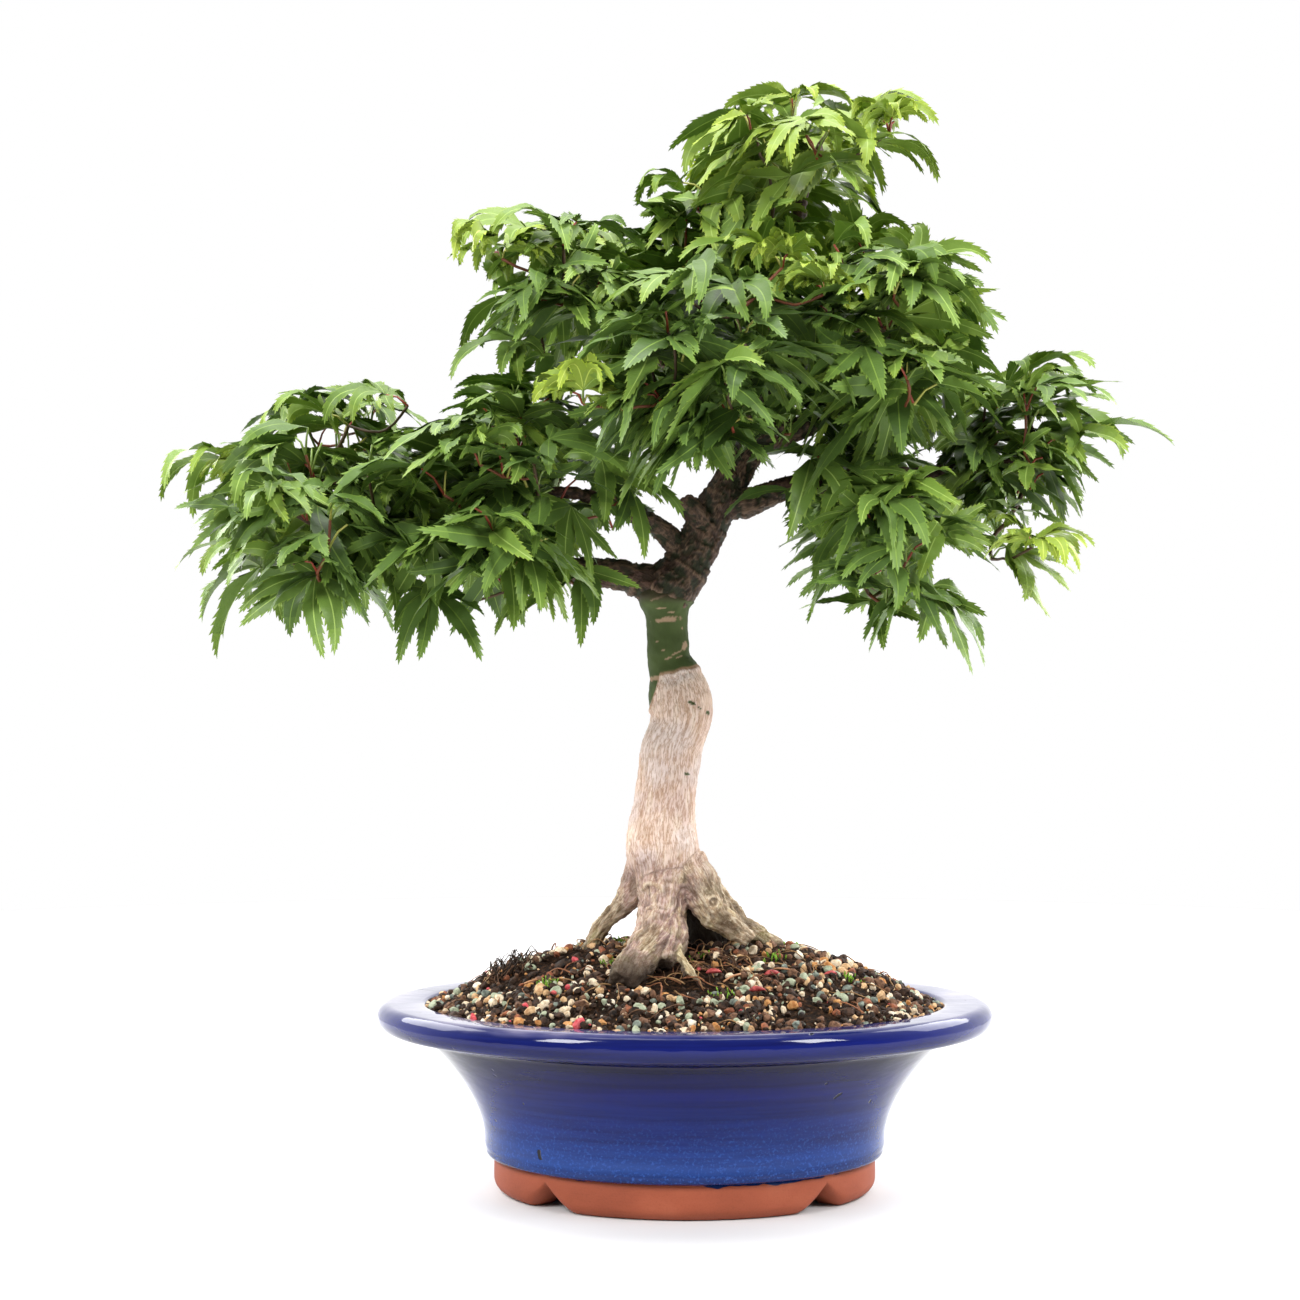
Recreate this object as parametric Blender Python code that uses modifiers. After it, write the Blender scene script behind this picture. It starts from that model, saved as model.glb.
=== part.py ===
"""Potted bonsai Japanese maple with curled leaves, in an oval glazed pot.

Units are metres, +Z is up, and the viewer's front is -Y. The origin lies on the
surface the pot stands on, under the middle of the whole plant's footprint.

Run with: blender --background --python part.py
"""

import math

import bmesh
import bpy
from mathutils import Matrix, Vector, noise

MM = 0.001
GAP = 0.3 * MM                # air left between pieces that touch

# ---- Oval pot: sections are circles about its own axis, squeezed front to back ----
POT_X = 14.7 * MM             # the pot's axis lies to the right of the origin
POT_DEPTH_RATIO = 0.81        # its front-to-back size over its width
POT_TURNS = 36                # facets round the oval

LEDGE_Z = 15.6 * MM           # underside of the glazed wall's bottom edge
LEDGE_R = 82.4 * MM
WAIST_R = 85.2 * MM           # nearly upright stretch just above the ledge
WAIST_Z = 22.0 * MM
WALL_TOP_R = 111.2 * MM       # where the wall meets the underside of the rim
WALL_TOP_Z = 65.4 * MM
WALL_FLARE = 1.8              # how late the wall turns outwards on its way up
LIP_R = 130.75 * MM           # widest point of the rim, half the pot's width
LIP_TOP_Z = 79.4 * MM
LIP_BOTTOM_Z = 68.1 * MM
RIM_INNER_R = 111.5 * MM
WALL = 6.0 * MM               # fired clay thickness of wall and floor
FLOOR_Z = 23.0 * MM           # inside bottom of the pot
UNDERSIDE_Z = 14.6 * MM

# ---- Unglazed foot ring with four notches ----
FOOT_R = 80.9 * MM
FOOT_WALL = 13.0 * MM
FOOT_EDGE = 5.6 * MM          # rounding of the worn bottom edge
FOOT_TOP_Z = UNDERSIDE_Z - GAP
NOTCH_HALF_WIDTH = 11.0 * MM
NOTCH_HEIGHT = 9.5 * MM
FEET = {                      # name, then first and last degree round the oval, from +X
    "foot_right": (-45.0, 45.0),
    "foot_back": (45.0, 135.0),
    "foot_left": (135.0, 225.0),
    "foot_front": (225.0, 315.0),
}

# ---- Soil mound ----
SOIL_EDGE_Z = 77.2 * MM
SOIL_RISE = 24.8 * MM         # height of the mound over its edge
SOIL_FLAT_R = 34.0 * MM       # level middle that the tree stands on
SOIL_TOP_Z = SOIL_EDGE_Z + SOIL_RISE
SOIL_STEEPNESS = 1.45
SOIL_FRONT_Y = -89.0 * MM     # in front of its crest the mound slopes straight down to here

# ---- Trunk: (x, y, z, radius) in millimetres, from between the roots to the fork ----
TRUNK = (
    (7.0, 1.0, 117.0, 9.0),
    (6.0, 1.0, 127.0, 12.3),
    (5.4, 0.0, 141.0, 15.6),
    (5.1, 0.0, 152.0, 14.6),
    (6.2, 0.0, 163.0, 13.5),
    (8.6, 0.0, 182.0, 13.1),
    (11.8, 0.0, 194.0, 12.6),
    (13.2, 0.0, 204.5, 13.5),
    (11.8, 0.0, 213.5, 12.3),
    (8.1, 0.0, 225.0, 9.1),
    (7.3, 0.0, 239.5, 8.8),
    (6.9, 0.0, 250.0, 11.0),
)

# ---- Limbs: name, then (x, y, z, radius) in millimetres from where they leave ----
LIMBS = {
    "root_front": ((6, -2, 131, 12), (6, -7, 121.6, 10.1), (3.8, -14, 110.5, 10),
                   (-3.3, -27, 101.4, 9), (-11.5, -42, 92.2, 5.4)),
    "root_left": ((-2, 1, 132, 7), (-9.9, 2, 121.6, 5.0), (-19.8, 4, 111.2, 4.3), (-26.8, 6, 95, 4.6)),
    "root_right": ((14, 1, 135, 10), (22.3, 1, 125.5, 9), (34.5, 2, 113.8, 7),
                   (45.4, 6, 106.5, 4.6), (58, 10, 98.7, 2.8)),
    "root_front_small": ((9, -20, 106, 3.6), (13.3, -29, 100.4, 2.6), (20, -40, 91, 1.6)),
    "root_back": ((8, 6, 129, 11), (7.9, 16, 120.4, 9), (6.2, 30, 111.2, 7.2), (4.5, 43, 101, 5.4)),
    "leader": ((6.6, 0, 251, 9.6), (11.1, 0, 258.9, 10.4), (15.4, 0, 264.9, 9.6),
               (26.6, 2, 287, 8.5), (34.8, 3, 301.3, 7.2), (46.1, 4, 319.6, 6.3),
               (53.8, 4, 339.1, 5.2), (56.7, 3, 360, 4.4)),
    "bough_left": ((4, 0, 254, 7.4), (-9.4, 0, 260.1, 6.5), (-34.4, 2, 263.3, 5.4),
                   (-69, 5, 269.5, 4.8), (-90.4, 4, 272.5, 4.2), (-120, 3, 278, 3.4)),
    "bough_left_inner": ((17.2, 0, 267.5, 5.2), (9.4, -3, 275.8, 4.4), (0, -8, 283.1, 3.8),
                         (-16.8, -20, 290.1, 3)),
    "bough_right": ((32.7, 2, 291, 6.2), (48, 0, 294.6, 5.1), (64, 0, 300.5, 4.4)),
    "bough_right_upper": ((44, 4, 316, 5), (60, 0, 322.6, 4.5), (72.7, -2, 327.5, 3.8),
                          (92, -3, 339, 3)),
    "bough_left_upper": ((48, 4, 321.3, 4.8), (36.7, 6, 332.9, 4.2), (21.6, 6, 343.7, 3.8),
                         (-2, 6, 361, 3)),
}
LIMB_PARENTS = {              # what each limb grows from, or meets where it leaves
    "root_front": ("trunk",),
    "root_left": ("trunk", "root_front"),
    "root_right": ("trunk", "root_front"),
    "root_front_small": ("root_front",),
    "root_back": ("trunk", "root_right"),
    "leader": ("trunk",),
    "bough_left": ("trunk", "leader"),
    "bough_left_inner": ("leader",),
    "bough_right": ("leader",),
    "bough_right_upper": ("leader",),
    "bough_left_upper": ("leader", "bough_right_upper"),
}
LIMB_SPACING = 9.0 * MM       # distance between rings along a limb
TRUNK_SPACING = 7.0 * MM

# ---- Foliage masses: centre and half sizes in millimetres, tilt about Y in degrees ----
MASSES = {
    "leaves_left_tip": ((-183, 0, 292), (35, 54, 33), 8),
    "leaves_left_front": ((-133, -50, 283), (44, 60, 51), 4),
    "leaves_left_back": ((-143, 50, 299), (49, 60, 54), 4),
    "leaves_inner_left_front": ((-60, -56, 284), (46, 62, 49), 0),
    "leaves_inner_left_back": ((-62, 57, 306), (50, 62, 55), 0),
    "leaves_near_fork": ((-18, -30, 293), (33, 38, 33), 0),
    "leaves_upper_left_front": ((-38, -44, 377), (42, 52, 35), 12),
    "leaves_upper_left_back": ((-34, 52, 394), (44, 52, 38), 12),
    "leaves_centre_front": ((16, -90, 335), (47, 52, 45), 0),
    "leaves_centre_back": ((29, 89, 363), (55, 54, 53), 0),
    "leaves_core": ((28, 0, 383), (52, 54, 42), 0),
    "leaves_apex_left": ((22, 2, 424), (34, 54, 29), 22),
    "leaves_apex_front": ((58, -30, 437), (44, 46, 35), 0),
    "leaves_apex_back": ((63, 38, 448), (46, 46, 36), 0),
    "leaves_upper_right_front": ((96, -58, 353), (44, 56, 49), -24),
    "leaves_upper_right_back": ((109, 60, 374), (49, 58, 55), -24),
    "leaves_over_right_bough": ((74, -18, 317), (38, 42, 27), 0),
    "leaves_right_tip": ((170, 0, 314), (44, 62, 35), -14),
    "leaves_right_drop": ((150, -6, 274), (26, 40, 29), 0),
    "leaves_low_right_front": ((94, -52, 268), (44, 54, 41), 0),
    "leaves_low_right_back": ((103, 54, 287), (43, 52, 43), 0),
}
MASS_SEGMENTS = 10            # facets round a mass
MASS_RINGS = 8               # facets from its foot to its top
MASS_UNEVENNESS = 0.09        # depth of its lumps, as a share of its size
MASS_LUMPS = 1.7              # lumps across a mass
MASS_GAP = 0.6 * MM           # air between neighbouring masses
CUTTER_GROWTH = 0.5 * MM      # how far a cutter stands proud of the piece it copies

# ---- Colours (linear), roughness and metallic value ----
FINISHES = {
    "glaze": ((0.010, 0.030, 0.30), 0.12),
    "terracotta": ((0.42, 0.10, 0.045), 0.8),
    "soil": ((0.10, 0.06, 0.035), 0.95),
    "pale_bark": ((0.46, 0.36, 0.28), 0.85),
    "dark_bark": ((0.085, 0.060, 0.035), 0.75),
    "foliage": ((0.045, 0.16, 0.02), 0.55),
}


def clear_scene():
    for obj in list(bpy.data.objects):
        bpy.data.objects.remove(obj, do_unlink=True)


def collection(name, hidden=False):
    made = bpy.data.collections.new(name)
    bpy.context.scene.collection.children.link(made)
    made.hide_render = hidden
    return made


def material(name):
    colour, roughness = FINISHES[name]
    made = bpy.data.materials.get(name) or bpy.data.materials.new(name)
    made.use_nodes = True
    made.diffuse_color = (*colour, 1.0)
    shader = made.node_tree.nodes["Principled BSDF"]
    shader.inputs["Base Color"].default_value = (*colour, 1.0)
    shader.inputs["Roughness"].default_value = roughness
    shader.inputs["Metallic"].default_value = 0.0
    return made


def as_object(name, mesh, finish, into):
    obj = bpy.data.objects.new(name, mesh)
    mesh.materials.append(material(finish))
    into.objects.link(obj)
    return obj


def mesh_of(bm, name):
    mesh = bpy.data.meshes.new(name)
    bmesh.ops.recalc_face_normals(bm, faces=bm.faces)
    bm.to_mesh(mesh)
    bm.free()
    return mesh


# ---------------------------------------------------------------- turned pieces

def arc(centre, radius, start_deg, end_deg, steps):
    """Points (r, z) of an arc in the profile plane, angles from +r towards +z."""
    found = []
    for i in range(steps + 1):
        angle = math.radians(start_deg + (end_deg - start_deg) * i / steps)
        found.append((centre[0] + radius * math.cos(angle), centre[1] + radius * math.sin(angle)))
    return found


def turned(name, profile, finish, into):
    """An oval solid: a closed profile of (r, z) turned about the pot's axis by a Screw."""
    mesh = bpy.data.meshes.new(name)
    points = [(r, 0.0, z) for r, z in profile]
    edges = [(i, i + 1) for i in range(len(points) - 1)]
    mesh.from_pydata(points, edges, [])
    obj = as_object(name, mesh, finish, into)
    obj.location.x = POT_X
    obj.scale.y = POT_DEPTH_RATIO
    screw = obj.modifiers.new("turn", "SCREW")
    screw.axis = "Z"
    screw.steps = POT_TURNS
    screw.render_steps = POT_TURNS
    screw.use_merge_vertices = True
    screw.merge_threshold = 1e-5
    screw.use_smooth_shade = True
    return obj


def wall_outside():
    """The flared outer wall from under the rim down to the ledge: a bell curve."""
    steps = 7
    found = []
    for i in range(steps + 1):
        t = i / steps
        z = WALL_TOP_Z + (WAIST_Z - WALL_TOP_Z) * t
        found.append((WAIST_R + (WALL_TOP_R - WAIST_R) * (1 - t) ** WALL_FLARE, z))
    return found


def inside_wall():
    """(r, z) down the inner wall, one wall thickness inside the outer one."""
    found = [(RIM_INNER_R - 2.5 * MM, LIP_TOP_Z - 4.0 * MM)]
    for r, z in wall_outside()[1:-2:2]:
        found.append((r - WALL, z + WALL * 0.6))
    found.append((WAIST_R - WALL * 1.3, FLOOR_Z + 4.0 * MM))
    return found


def pot_bowl(into):
    lip_z = (LIP_TOP_Z + LIP_BOTTOM_Z) / 2
    lip_round = (LIP_TOP_Z - LIP_BOTTOM_Z) / 2
    profile = [(0.0, FLOOR_Z), (WAIST_R - WALL * 2.2, FLOOR_Z)]
    profile += inside_wall()[::-1]
    profile += [(RIM_INNER_R, LIP_TOP_Z - 0.4 * MM)]
    profile += arc((LIP_R - lip_round, lip_z), lip_round, 90, -90, 5)
    profile += wall_outside()
    profile += [(LEDGE_R + 1.9 * MM, LEDGE_Z + 2.6 * MM), (LEDGE_R, LEDGE_Z)]
    profile += [(LEDGE_R - 3.0 * MM, UNDERSIDE_Z)]
    profile += [(0.0, UNDERSIDE_Z)]
    return turned("pot_bowl", profile, "glaze", into)


def foot(name, into, cutters):
    """A quarter of the foot ring, from the crown of one arched notch to the next."""
    start, end = FEET[name]
    inner = FOOT_R - FOOT_WALL
    profile = [(inner, FOOT_TOP_Z), (FOOT_R - 2.4 * MM, FOOT_TOP_Z), (FOOT_R, FOOT_TOP_Z - 2.4 * MM)]
    profile += arc((FOOT_R - FOOT_EDGE, FOOT_EDGE), FOOT_EDGE, 0, -90, 3)
    profile += [(inner, 0.0)]
    bm = bmesh.new()
    section = bm.faces.new([bm.verts.new((r, 0.0, z)) for r, z in profile])
    parting = math.degrees(GAP / FOOT_R)
    turn = math.radians(end - start - parting)
    bmesh.ops.rotate(bm, verts=bm.verts, matrix=Matrix.Rotation(math.radians(start + parting / 2), 3, "Z"))
    bmesh.ops.spin(bm, geom=[section], cent=(0, 0, 0), axis=(0, 0, 1), angle=turn, steps=POT_TURNS // 4)
    bmesh.ops.scale(bm, vec=(1.0, POT_DEPTH_RATIO, 1.0), verts=bm.verts)
    bmesh.ops.translate(bm, vec=(POT_X, 0.0, 0.0), verts=bm.verts)
    obj = as_object(name, mesh_of(bm, name), "terracotta", into)
    obj.data.shade_smooth()
    for degrees in (start, end):
        cut_from(obj, notch_cutter(f"{name}_notch_{degrees:.0f}", degrees, cutters))
    return obj


def notch_cutter(name, degrees, cutters):
    """An arch-shaped bar through the foot ring, radial to the oval."""
    bm = bmesh.new()
    bmesh.ops.create_cone(bm, cap_ends=True, segments=14, radius1=1.0, radius2=1.0, depth=1.0,
                          matrix=Matrix.Rotation(math.radians(90), 4, "Y"))
    length = 3.0 * FOOT_WALL
    bmesh.ops.scale(bm, vec=(length, NOTCH_HALF_WIDTH, NOTCH_HEIGHT), verts=bm.verts)
    angle = math.radians(degrees)
    middle_r = FOOT_R - FOOT_WALL / 2
    place = Vector((POT_X + middle_r * math.cos(angle), POT_DEPTH_RATIO * middle_r * math.sin(angle), 0.0))
    outward = math.atan2(math.sin(angle) / POT_DEPTH_RATIO, math.cos(angle))
    bmesh.ops.transform(bm, matrix=Matrix.Translation(place) @ Matrix.Rotation(outward, 4, "Z"), verts=bm.verts)
    obj = bpy.data.objects.new(name, mesh_of(bm, name))
    obj.hide_render = True
    obj.display_type = "WIRE"
    cutters.objects.link(obj)
    return obj


def soil_height(share):
    """Height of the mound at a share of the way from its middle to its edge."""
    flat = SOIL_FLAT_R / RIM_INNER_R
    outward = max(0.0, (share - flat) / (1.0 - flat))
    return SOIL_EDGE_Z + SOIL_RISE * (1.0 - outward * outward) ** SOIL_STEEPNESS


def soil(into):
    profile = [(0.0, SOIL_TOP_Z)]
    steps = 7
    flat = SOIL_FLAT_R / RIM_INNER_R
    edge_r = RIM_INNER_R - 2.0 * MM
    for i in range(steps + 1):
        share = flat + (1.0 - flat) * i / steps
        profile.append((edge_r * share, soil_height(share)))
    profile += [(r - 2 * GAP, z) for r, z in inside_wall()[1:]]
    profile += [(WAIST_R - WALL * 2.2 - 2 * GAP, FLOOR_Z + 2 * GAP), (0.0, FLOOR_Z + 2 * GAP)]
    return turned("soil", profile, "soil", into)


def front_slope(cutters):
    """A slab whose underside is the mound's straight slope from its crest to the front rim."""
    slope = math.atan2(SOIL_RISE, -SOIL_FRONT_Y)
    size = 320.0 * MM
    bm = bmesh.new()
    bmesh.ops.create_cube(bm, size=1.0)
    bmesh.ops.scale(bm, vec=(size, size, size / 4), verts=bm.verts)
    bmesh.ops.translate(bm, vec=(0.0, -size / 2, size / 8), verts=bm.verts)
    bmesh.ops.rotate(bm, verts=bm.verts, matrix=Matrix.Rotation(slope, 3, "X"))
    bmesh.ops.translate(bm, vec=(POT_X, 0.0, SOIL_TOP_Z + GAP), verts=bm.verts)
    slab = bpy.data.objects.new("front_slope", mesh_of(bm, "front_slope"))
    slab.hide_render = True
    slab.display_type = "WIRE"
    cutters.objects.link(slab)
    return slab


# ---------------------------------------------------------------- trunk and limbs

def smooth_path(stations, spacing):
    """Stations (x, y, z, radius) in millimetres, read again at an even spacing along a
    Catmull-Rom curve, in metres."""
    rows = [Vector((*s[:3], s[3])) * MM for s in stations]
    rows = [rows[0] * 2 - rows[1], *rows, rows[-1] * 2 - rows[-2]]
    found = []
    for a, b, c, d in zip(rows, rows[1:], rows[2:], rows[3:]):
        steps = max(1, round((c - b).length / spacing))
        for i in range(steps):
            t = i / steps
            found.append(0.5 * (2 * b + (c - a) * t + (2 * a - 5 * b + 4 * c - d) * t * t
                                + (3 * b - a - 3 * c + d) * t ** 3))
    found.append(rows[-2])
    return found


def limb(name, stations, spacing, sides, finish, into):
    """One tapering limb: a bevelled curve, made a closed mesh."""
    curve = bpy.data.curves.new(name, "CURVE")
    curve.dimensions = "3D"
    curve.bevel_depth = 1.0
    curve.bevel_resolution = (sides - 4) // 2
    curve.use_fill_caps = True
    spline = curve.splines.new("POLY")
    path = smooth_path(stations, spacing)
    spline.points.add(len(path) - 1)
    for point, row in zip(spline.points, path):
        point.co = (*row[:3], 1.0)
        point.radius = row[3]
    guide = bpy.data.objects.new(name + "_curve", curve)
    into.objects.link(guide)
    bpy.context.view_layer.update()
    evaluated = guide.evaluated_get(bpy.context.evaluated_depsgraph_get())
    mesh = bpy.data.meshes.new_from_object(evaluated)
    bpy.data.objects.remove(guide, do_unlink=True)
    bm = bmesh.new()
    bm.from_mesh(mesh)
    bmesh.ops.remove_doubles(bm, verts=bm.verts, dist=1e-6)
    bmesh.ops.recalc_face_normals(bm, faces=bm.faces)
    bm.to_mesh(mesh)
    bm.free()
    mesh.name = name
    mesh.materials.clear()
    obj = as_object(name, mesh, finish, into)
    mesh.shade_smooth()
    return obj


def grown_copy(obj, growth, cutters):
    """A hidden copy of obj's finished mesh, pushed outwards, for cutting its neighbours."""
    bpy.context.view_layer.update()
    evaluated = obj.evaluated_get(bpy.context.evaluated_depsgraph_get())
    bm = bmesh.new()
    bm.from_mesh(evaluated.to_mesh())
    evaluated.to_mesh_clear()
    bmesh.ops.transform(bm, matrix=obj.matrix_world, verts=bm.verts)
    bmesh.ops.remove_doubles(bm, verts=bm.verts, dist=1e-6)
    bm.normal_update()
    for vert in bm.verts:
        vert.co += vert.normal * growth
    name = obj.name + "_cutter"
    made = bpy.data.objects.new(name, mesh_of(bm, name))
    made.hide_render = True
    made.display_type = "WIRE"
    cutters.objects.link(made)
    return made


def cut_from(obj, cutter):
    cut = obj.modifiers.new(cutter.name, "BOOLEAN")
    cut.operation = "DIFFERENCE"
    cut.object = cutter


def boxes_meet(a, b):
    """True if the two objects' bounding boxes overlap."""
    spans = []
    for obj in (a, b):
        corners = [obj.matrix_world @ Vector(c) for c in obj.bound_box]
        spans.append([(min(c[i] for c in corners), max(c[i] for c in corners)) for i in range(3)])
    return all(spans[0][i][0] < spans[1][i][1] and spans[1][i][0] < spans[0][i][1] for i in range(3))


# ---------------------------------------------------------------- foliage masses

def support(radii, tilt_deg, direction):
    """How far an ellipsoid tilted about Y reaches from its centre along a direction."""
    turned_back = Matrix.Rotation(math.radians(-tilt_deg), 3, "Y") @ direction
    return math.sqrt(sum((turned_back[i] * radii[i]) ** 2 for i in range(3)))


def plane_between(one, other):
    """Point and normal of the plane that parts two masses, or None if they stay clear."""
    (centre, radii, tilt), (centre_b, radii_b, tilt_b) = one, other
    apart = Vector(centre_b) - Vector(centre)
    direction = apart.normalized()
    reach = support(radii, tilt, direction)
    reach_b = support(radii_b, tilt_b, direction)
    if (reach + reach_b) * (1.0 + MASS_UNEVENNESS) < apart.length:
        return None
    point = Vector(centre) + apart * (reach / (reach + reach_b))
    return point * MM, direction


def foliage_mass(name, seed, into):
    """An uneven ellipsoid, cut flat where its neighbours begin."""
    centre, radii, tilt = MASSES[name]
    bm = bmesh.new()
    bmesh.ops.create_uvsphere(bm, u_segments=MASS_SEGMENTS, v_segments=MASS_RINGS, radius=1.0)
    for vert in bm.verts:
        lump = noise.noise(vert.co * MASS_LUMPS + Vector((seed * 7.3, seed * 3.1, seed * 5.7)))
        vert.co *= 1.0 + 2.0 * MASS_UNEVENNESS * lump
    bmesh.ops.scale(bm, vec=Vector(radii) * MM, verts=bm.verts)
    place = Matrix.Translation(Vector(centre) * MM) @ Matrix.Rotation(math.radians(tilt), 4, "Y")
    bmesh.ops.transform(bm, matrix=place, verts=bm.verts)
    for other, size in MASSES.items():
        plane = None if other == name else plane_between(MASSES[name], size)
        if plane is None:
            continue
        point, normal = plane
        geometry = bm.verts[:] + bm.edges[:] + bm.faces[:]
        bmesh.ops.bisect_plane(bm, geom=geometry, dist=1e-6, plane_co=point - normal * MASS_GAP / 2,
                               plane_no=normal, clear_outer=True)
        rim = [edge for edge in bm.edges if edge.is_boundary]
        bmesh.ops.holes_fill(bm, edges=rim)
    bmesh.ops.remove_doubles(bm, verts=bm.verts, dist=0.05 * MM)
    bmesh.ops.triangulate(bm, faces=bm.faces)
    mesh = mesh_of(bm, name)
    mesh.shade_smooth()
    return as_object(name, mesh, "foliage", into)


def main():
    clear_scene()
    parts = collection("potted_japanese_maple")
    cutters = collection("cutters", hidden=True)

    pot_bowl(parts)
    for name in FEET:
        foot(name, parts, cutters)
    soil_obj = soil(parts)
    cut_from(soil_obj, front_slope(cutters))
    soil_cutter = grown_copy(soil_obj, CUTTER_GROWTH, cutters)

    made = {"trunk": limb("trunk", TRUNK, TRUNK_SPACING, 14, "pale_bark", parts)}
    for name, stations in LIMBS.items():
        finish = "pale_bark" if name.startswith("root") else "dark_bark"
        sides = 10 if name in ("leader", "root_front", "root_right") else 8
        made[name] = limb(name, stations, LIMB_SPACING, sides, finish, parts)
    grown_from = sorted({parent for parents in LIMB_PARENTS.values() for parent in parents})
    limb_cutters = {name: grown_copy(made[name], CUTTER_GROWTH, cutters) for name in grown_from}
    masses = [foliage_mass(name, i, parts) for i, name in enumerate(MASSES)]
    bpy.context.view_layer.update()

    for name, obj in made.items():
        for parent in LIMB_PARENTS.get(name, ()):
            cut_from(obj, limb_cutters[parent])
        if name.startswith("root"):
            cut_from(obj, soil_cutter)
    for mass in masses:
        meeting = [obj for obj in made.values() if boxes_meet(mass, obj)]
        if meeting:
            cutter = grown_copy(mass, CUTTER_GROWTH, cutters)
            for obj in meeting:
                cut_from(obj, cutter)


main()
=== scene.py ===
"""Looks of a bonsai Japanese maple in an oval glazed pot: glaze, bare clay foot, gritty
soil, fissured bark, twigs and arching toothed leaves. Metres, +Z up, front at -Y."""

import math

import bmesh
import bpy
import numpy as np
from mathutils import Matrix, Vector, noise


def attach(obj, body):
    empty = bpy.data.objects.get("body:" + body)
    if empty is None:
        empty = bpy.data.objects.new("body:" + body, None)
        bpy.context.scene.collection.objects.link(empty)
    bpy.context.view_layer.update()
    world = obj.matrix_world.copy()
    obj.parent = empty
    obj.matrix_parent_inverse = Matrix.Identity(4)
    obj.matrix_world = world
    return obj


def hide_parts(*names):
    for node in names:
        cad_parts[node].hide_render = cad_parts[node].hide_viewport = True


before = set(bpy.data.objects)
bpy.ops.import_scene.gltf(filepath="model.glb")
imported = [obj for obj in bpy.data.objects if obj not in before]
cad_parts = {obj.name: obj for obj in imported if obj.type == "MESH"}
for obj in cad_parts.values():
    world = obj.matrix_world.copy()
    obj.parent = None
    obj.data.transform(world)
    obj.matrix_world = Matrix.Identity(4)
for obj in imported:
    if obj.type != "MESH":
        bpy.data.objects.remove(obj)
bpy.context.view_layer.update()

MM = 0.001
GROUND_SEED = 7               # grit, crumbs and root hairs
CROWN_SEED = 13               # shoots, twigs and leaves

POT_X = 14.7 * MM             # the pot's middle, to the right of the trunk's foot
POT_SQUEEZE = 0.81            # the pot's depth over its width
SOIL_TOP = 102.0 * MM         # the mound's crest
SOIL_EDGE = 77.2 * MM         # where the soil meets the pot
SOIL_EDGE_R = 111.5 * MM
SOIL_FLAT_R = 34.0 * MM       # the crest is level this far out

CAMERA_BACK = 0.94
CAMERA_UP = 0.205
CAMERA_TURN = 91.45           # degrees, a little above level
SENSOR = 36
LENS = 2192 / 1300 * SENSOR


# ------------------------------------------------------------------ small helpers

def unit(v):
    return v / np.maximum(np.linalg.norm(v, axis=-1, keepdims=True), 1e-12)


def smoothstep(a, b, x):
    t = np.clip((x - a) / (b - a), 0, 1)
    return t * t * (3 - 2 * t)


def clipped(x):
    """x kept between 0 and 1."""
    return float(np.clip(x, 0, 1))


def soft(points, seed):
    """Noise about -1 to 1."""
    shift = Vector((seed * 2.7, seed * 4.9, seed * 1.3))
    return np.array([noise.noise(Vector(p) + shift) for p in points])


def ridged(points, seed):
    """Noise with sharp crests, up to 1."""
    shift = Vector((seed * 3.7, seed * 1.9, seed * 5.3))
    return np.array([1.0 - 2.0 * abs(noise.noise(Vector(p) + shift)) for p in points])


def fractal(points, seed, scale):
    """Soft noise with three finer layers, about -1 to 1."""
    shift = Vector((seed * 2.3, seed * 3.1, seed * 1.7))
    return np.array([noise.fractal(Vector(p) * scale + shift, 0.7, 2.2, 4) for p in points])


def mix(a, b, t):
    """Rows a where the shares t are 0, colour or rows b where they are 1."""
    return a + (np.asarray(b) - a) * np.asarray(t)[:, None]


def painted(ground, layers):
    """Lays colours over a ground colour, one after another, each by its own shares."""
    ground = np.array(ground)
    for colour, share in layers:
        ground = mix(ground, colour, share)
    return ground


def link(name, mesh, materials):
    obj = bpy.data.objects.new(name, mesh)
    for m in materials:
        mesh.materials.append(m)
    bpy.context.scene.collection.objects.link(obj)
    return obj


def set_corners(mesh, co):
    mesh.vertices.foreach_set("co", co.astype(np.float32).ravel())


def mesh_from(name, bm):
    mesh = bpy.data.meshes.new(name)
    bm.to_mesh(mesh)
    bm.free()
    return mesh


def shape_arrays(bm):
    """The corners and faces of a small shape, which is then let go."""
    bm.verts.index_update()
    co = np.array([v.co for v in bm.verts])
    faces = np.array([[v.index for v in f.verts] for f in bm.faces])
    bm.free()
    return co, faces


def joined(name, parts, materials, smooth=True):
    """One object from many shapes, each its corners, triangles and material number."""
    starts = np.cumsum([0] + [len(co) for co, _, _ in parts])
    points = np.concatenate([co for co, _, _ in parts])
    faces = np.concatenate([tris + start for (_, tris, _), start in zip(parts, starts)])
    tones = np.concatenate([np.full(len(tris), tone) for _, tris, tone in parts])
    mesh = bpy.data.meshes.new(name)
    mesh.vertices.add(len(points))
    set_corners(mesh, points)
    mesh.loops.add(faces.size)
    mesh.loops.foreach_set("vertex_index", faces.astype(np.int32).ravel())
    mesh.polygons.add(len(faces))
    mesh.polygons.foreach_set("loop_start", np.arange(0, faces.size, 3, dtype=np.int32))
    mesh.polygons.foreach_set("material_index", tones.astype(np.int32))
    mesh.update(calc_edges=True)
    mesh.validate()
    mesh.polygons.foreach_set("use_smooth", np.full(len(mesh.polygons), smooth))
    return link(name, mesh, materials)


def finish_piece(obj, slot, *nodes):
    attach(obj, "root")
    if nodes:
        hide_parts(*nodes)


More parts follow.
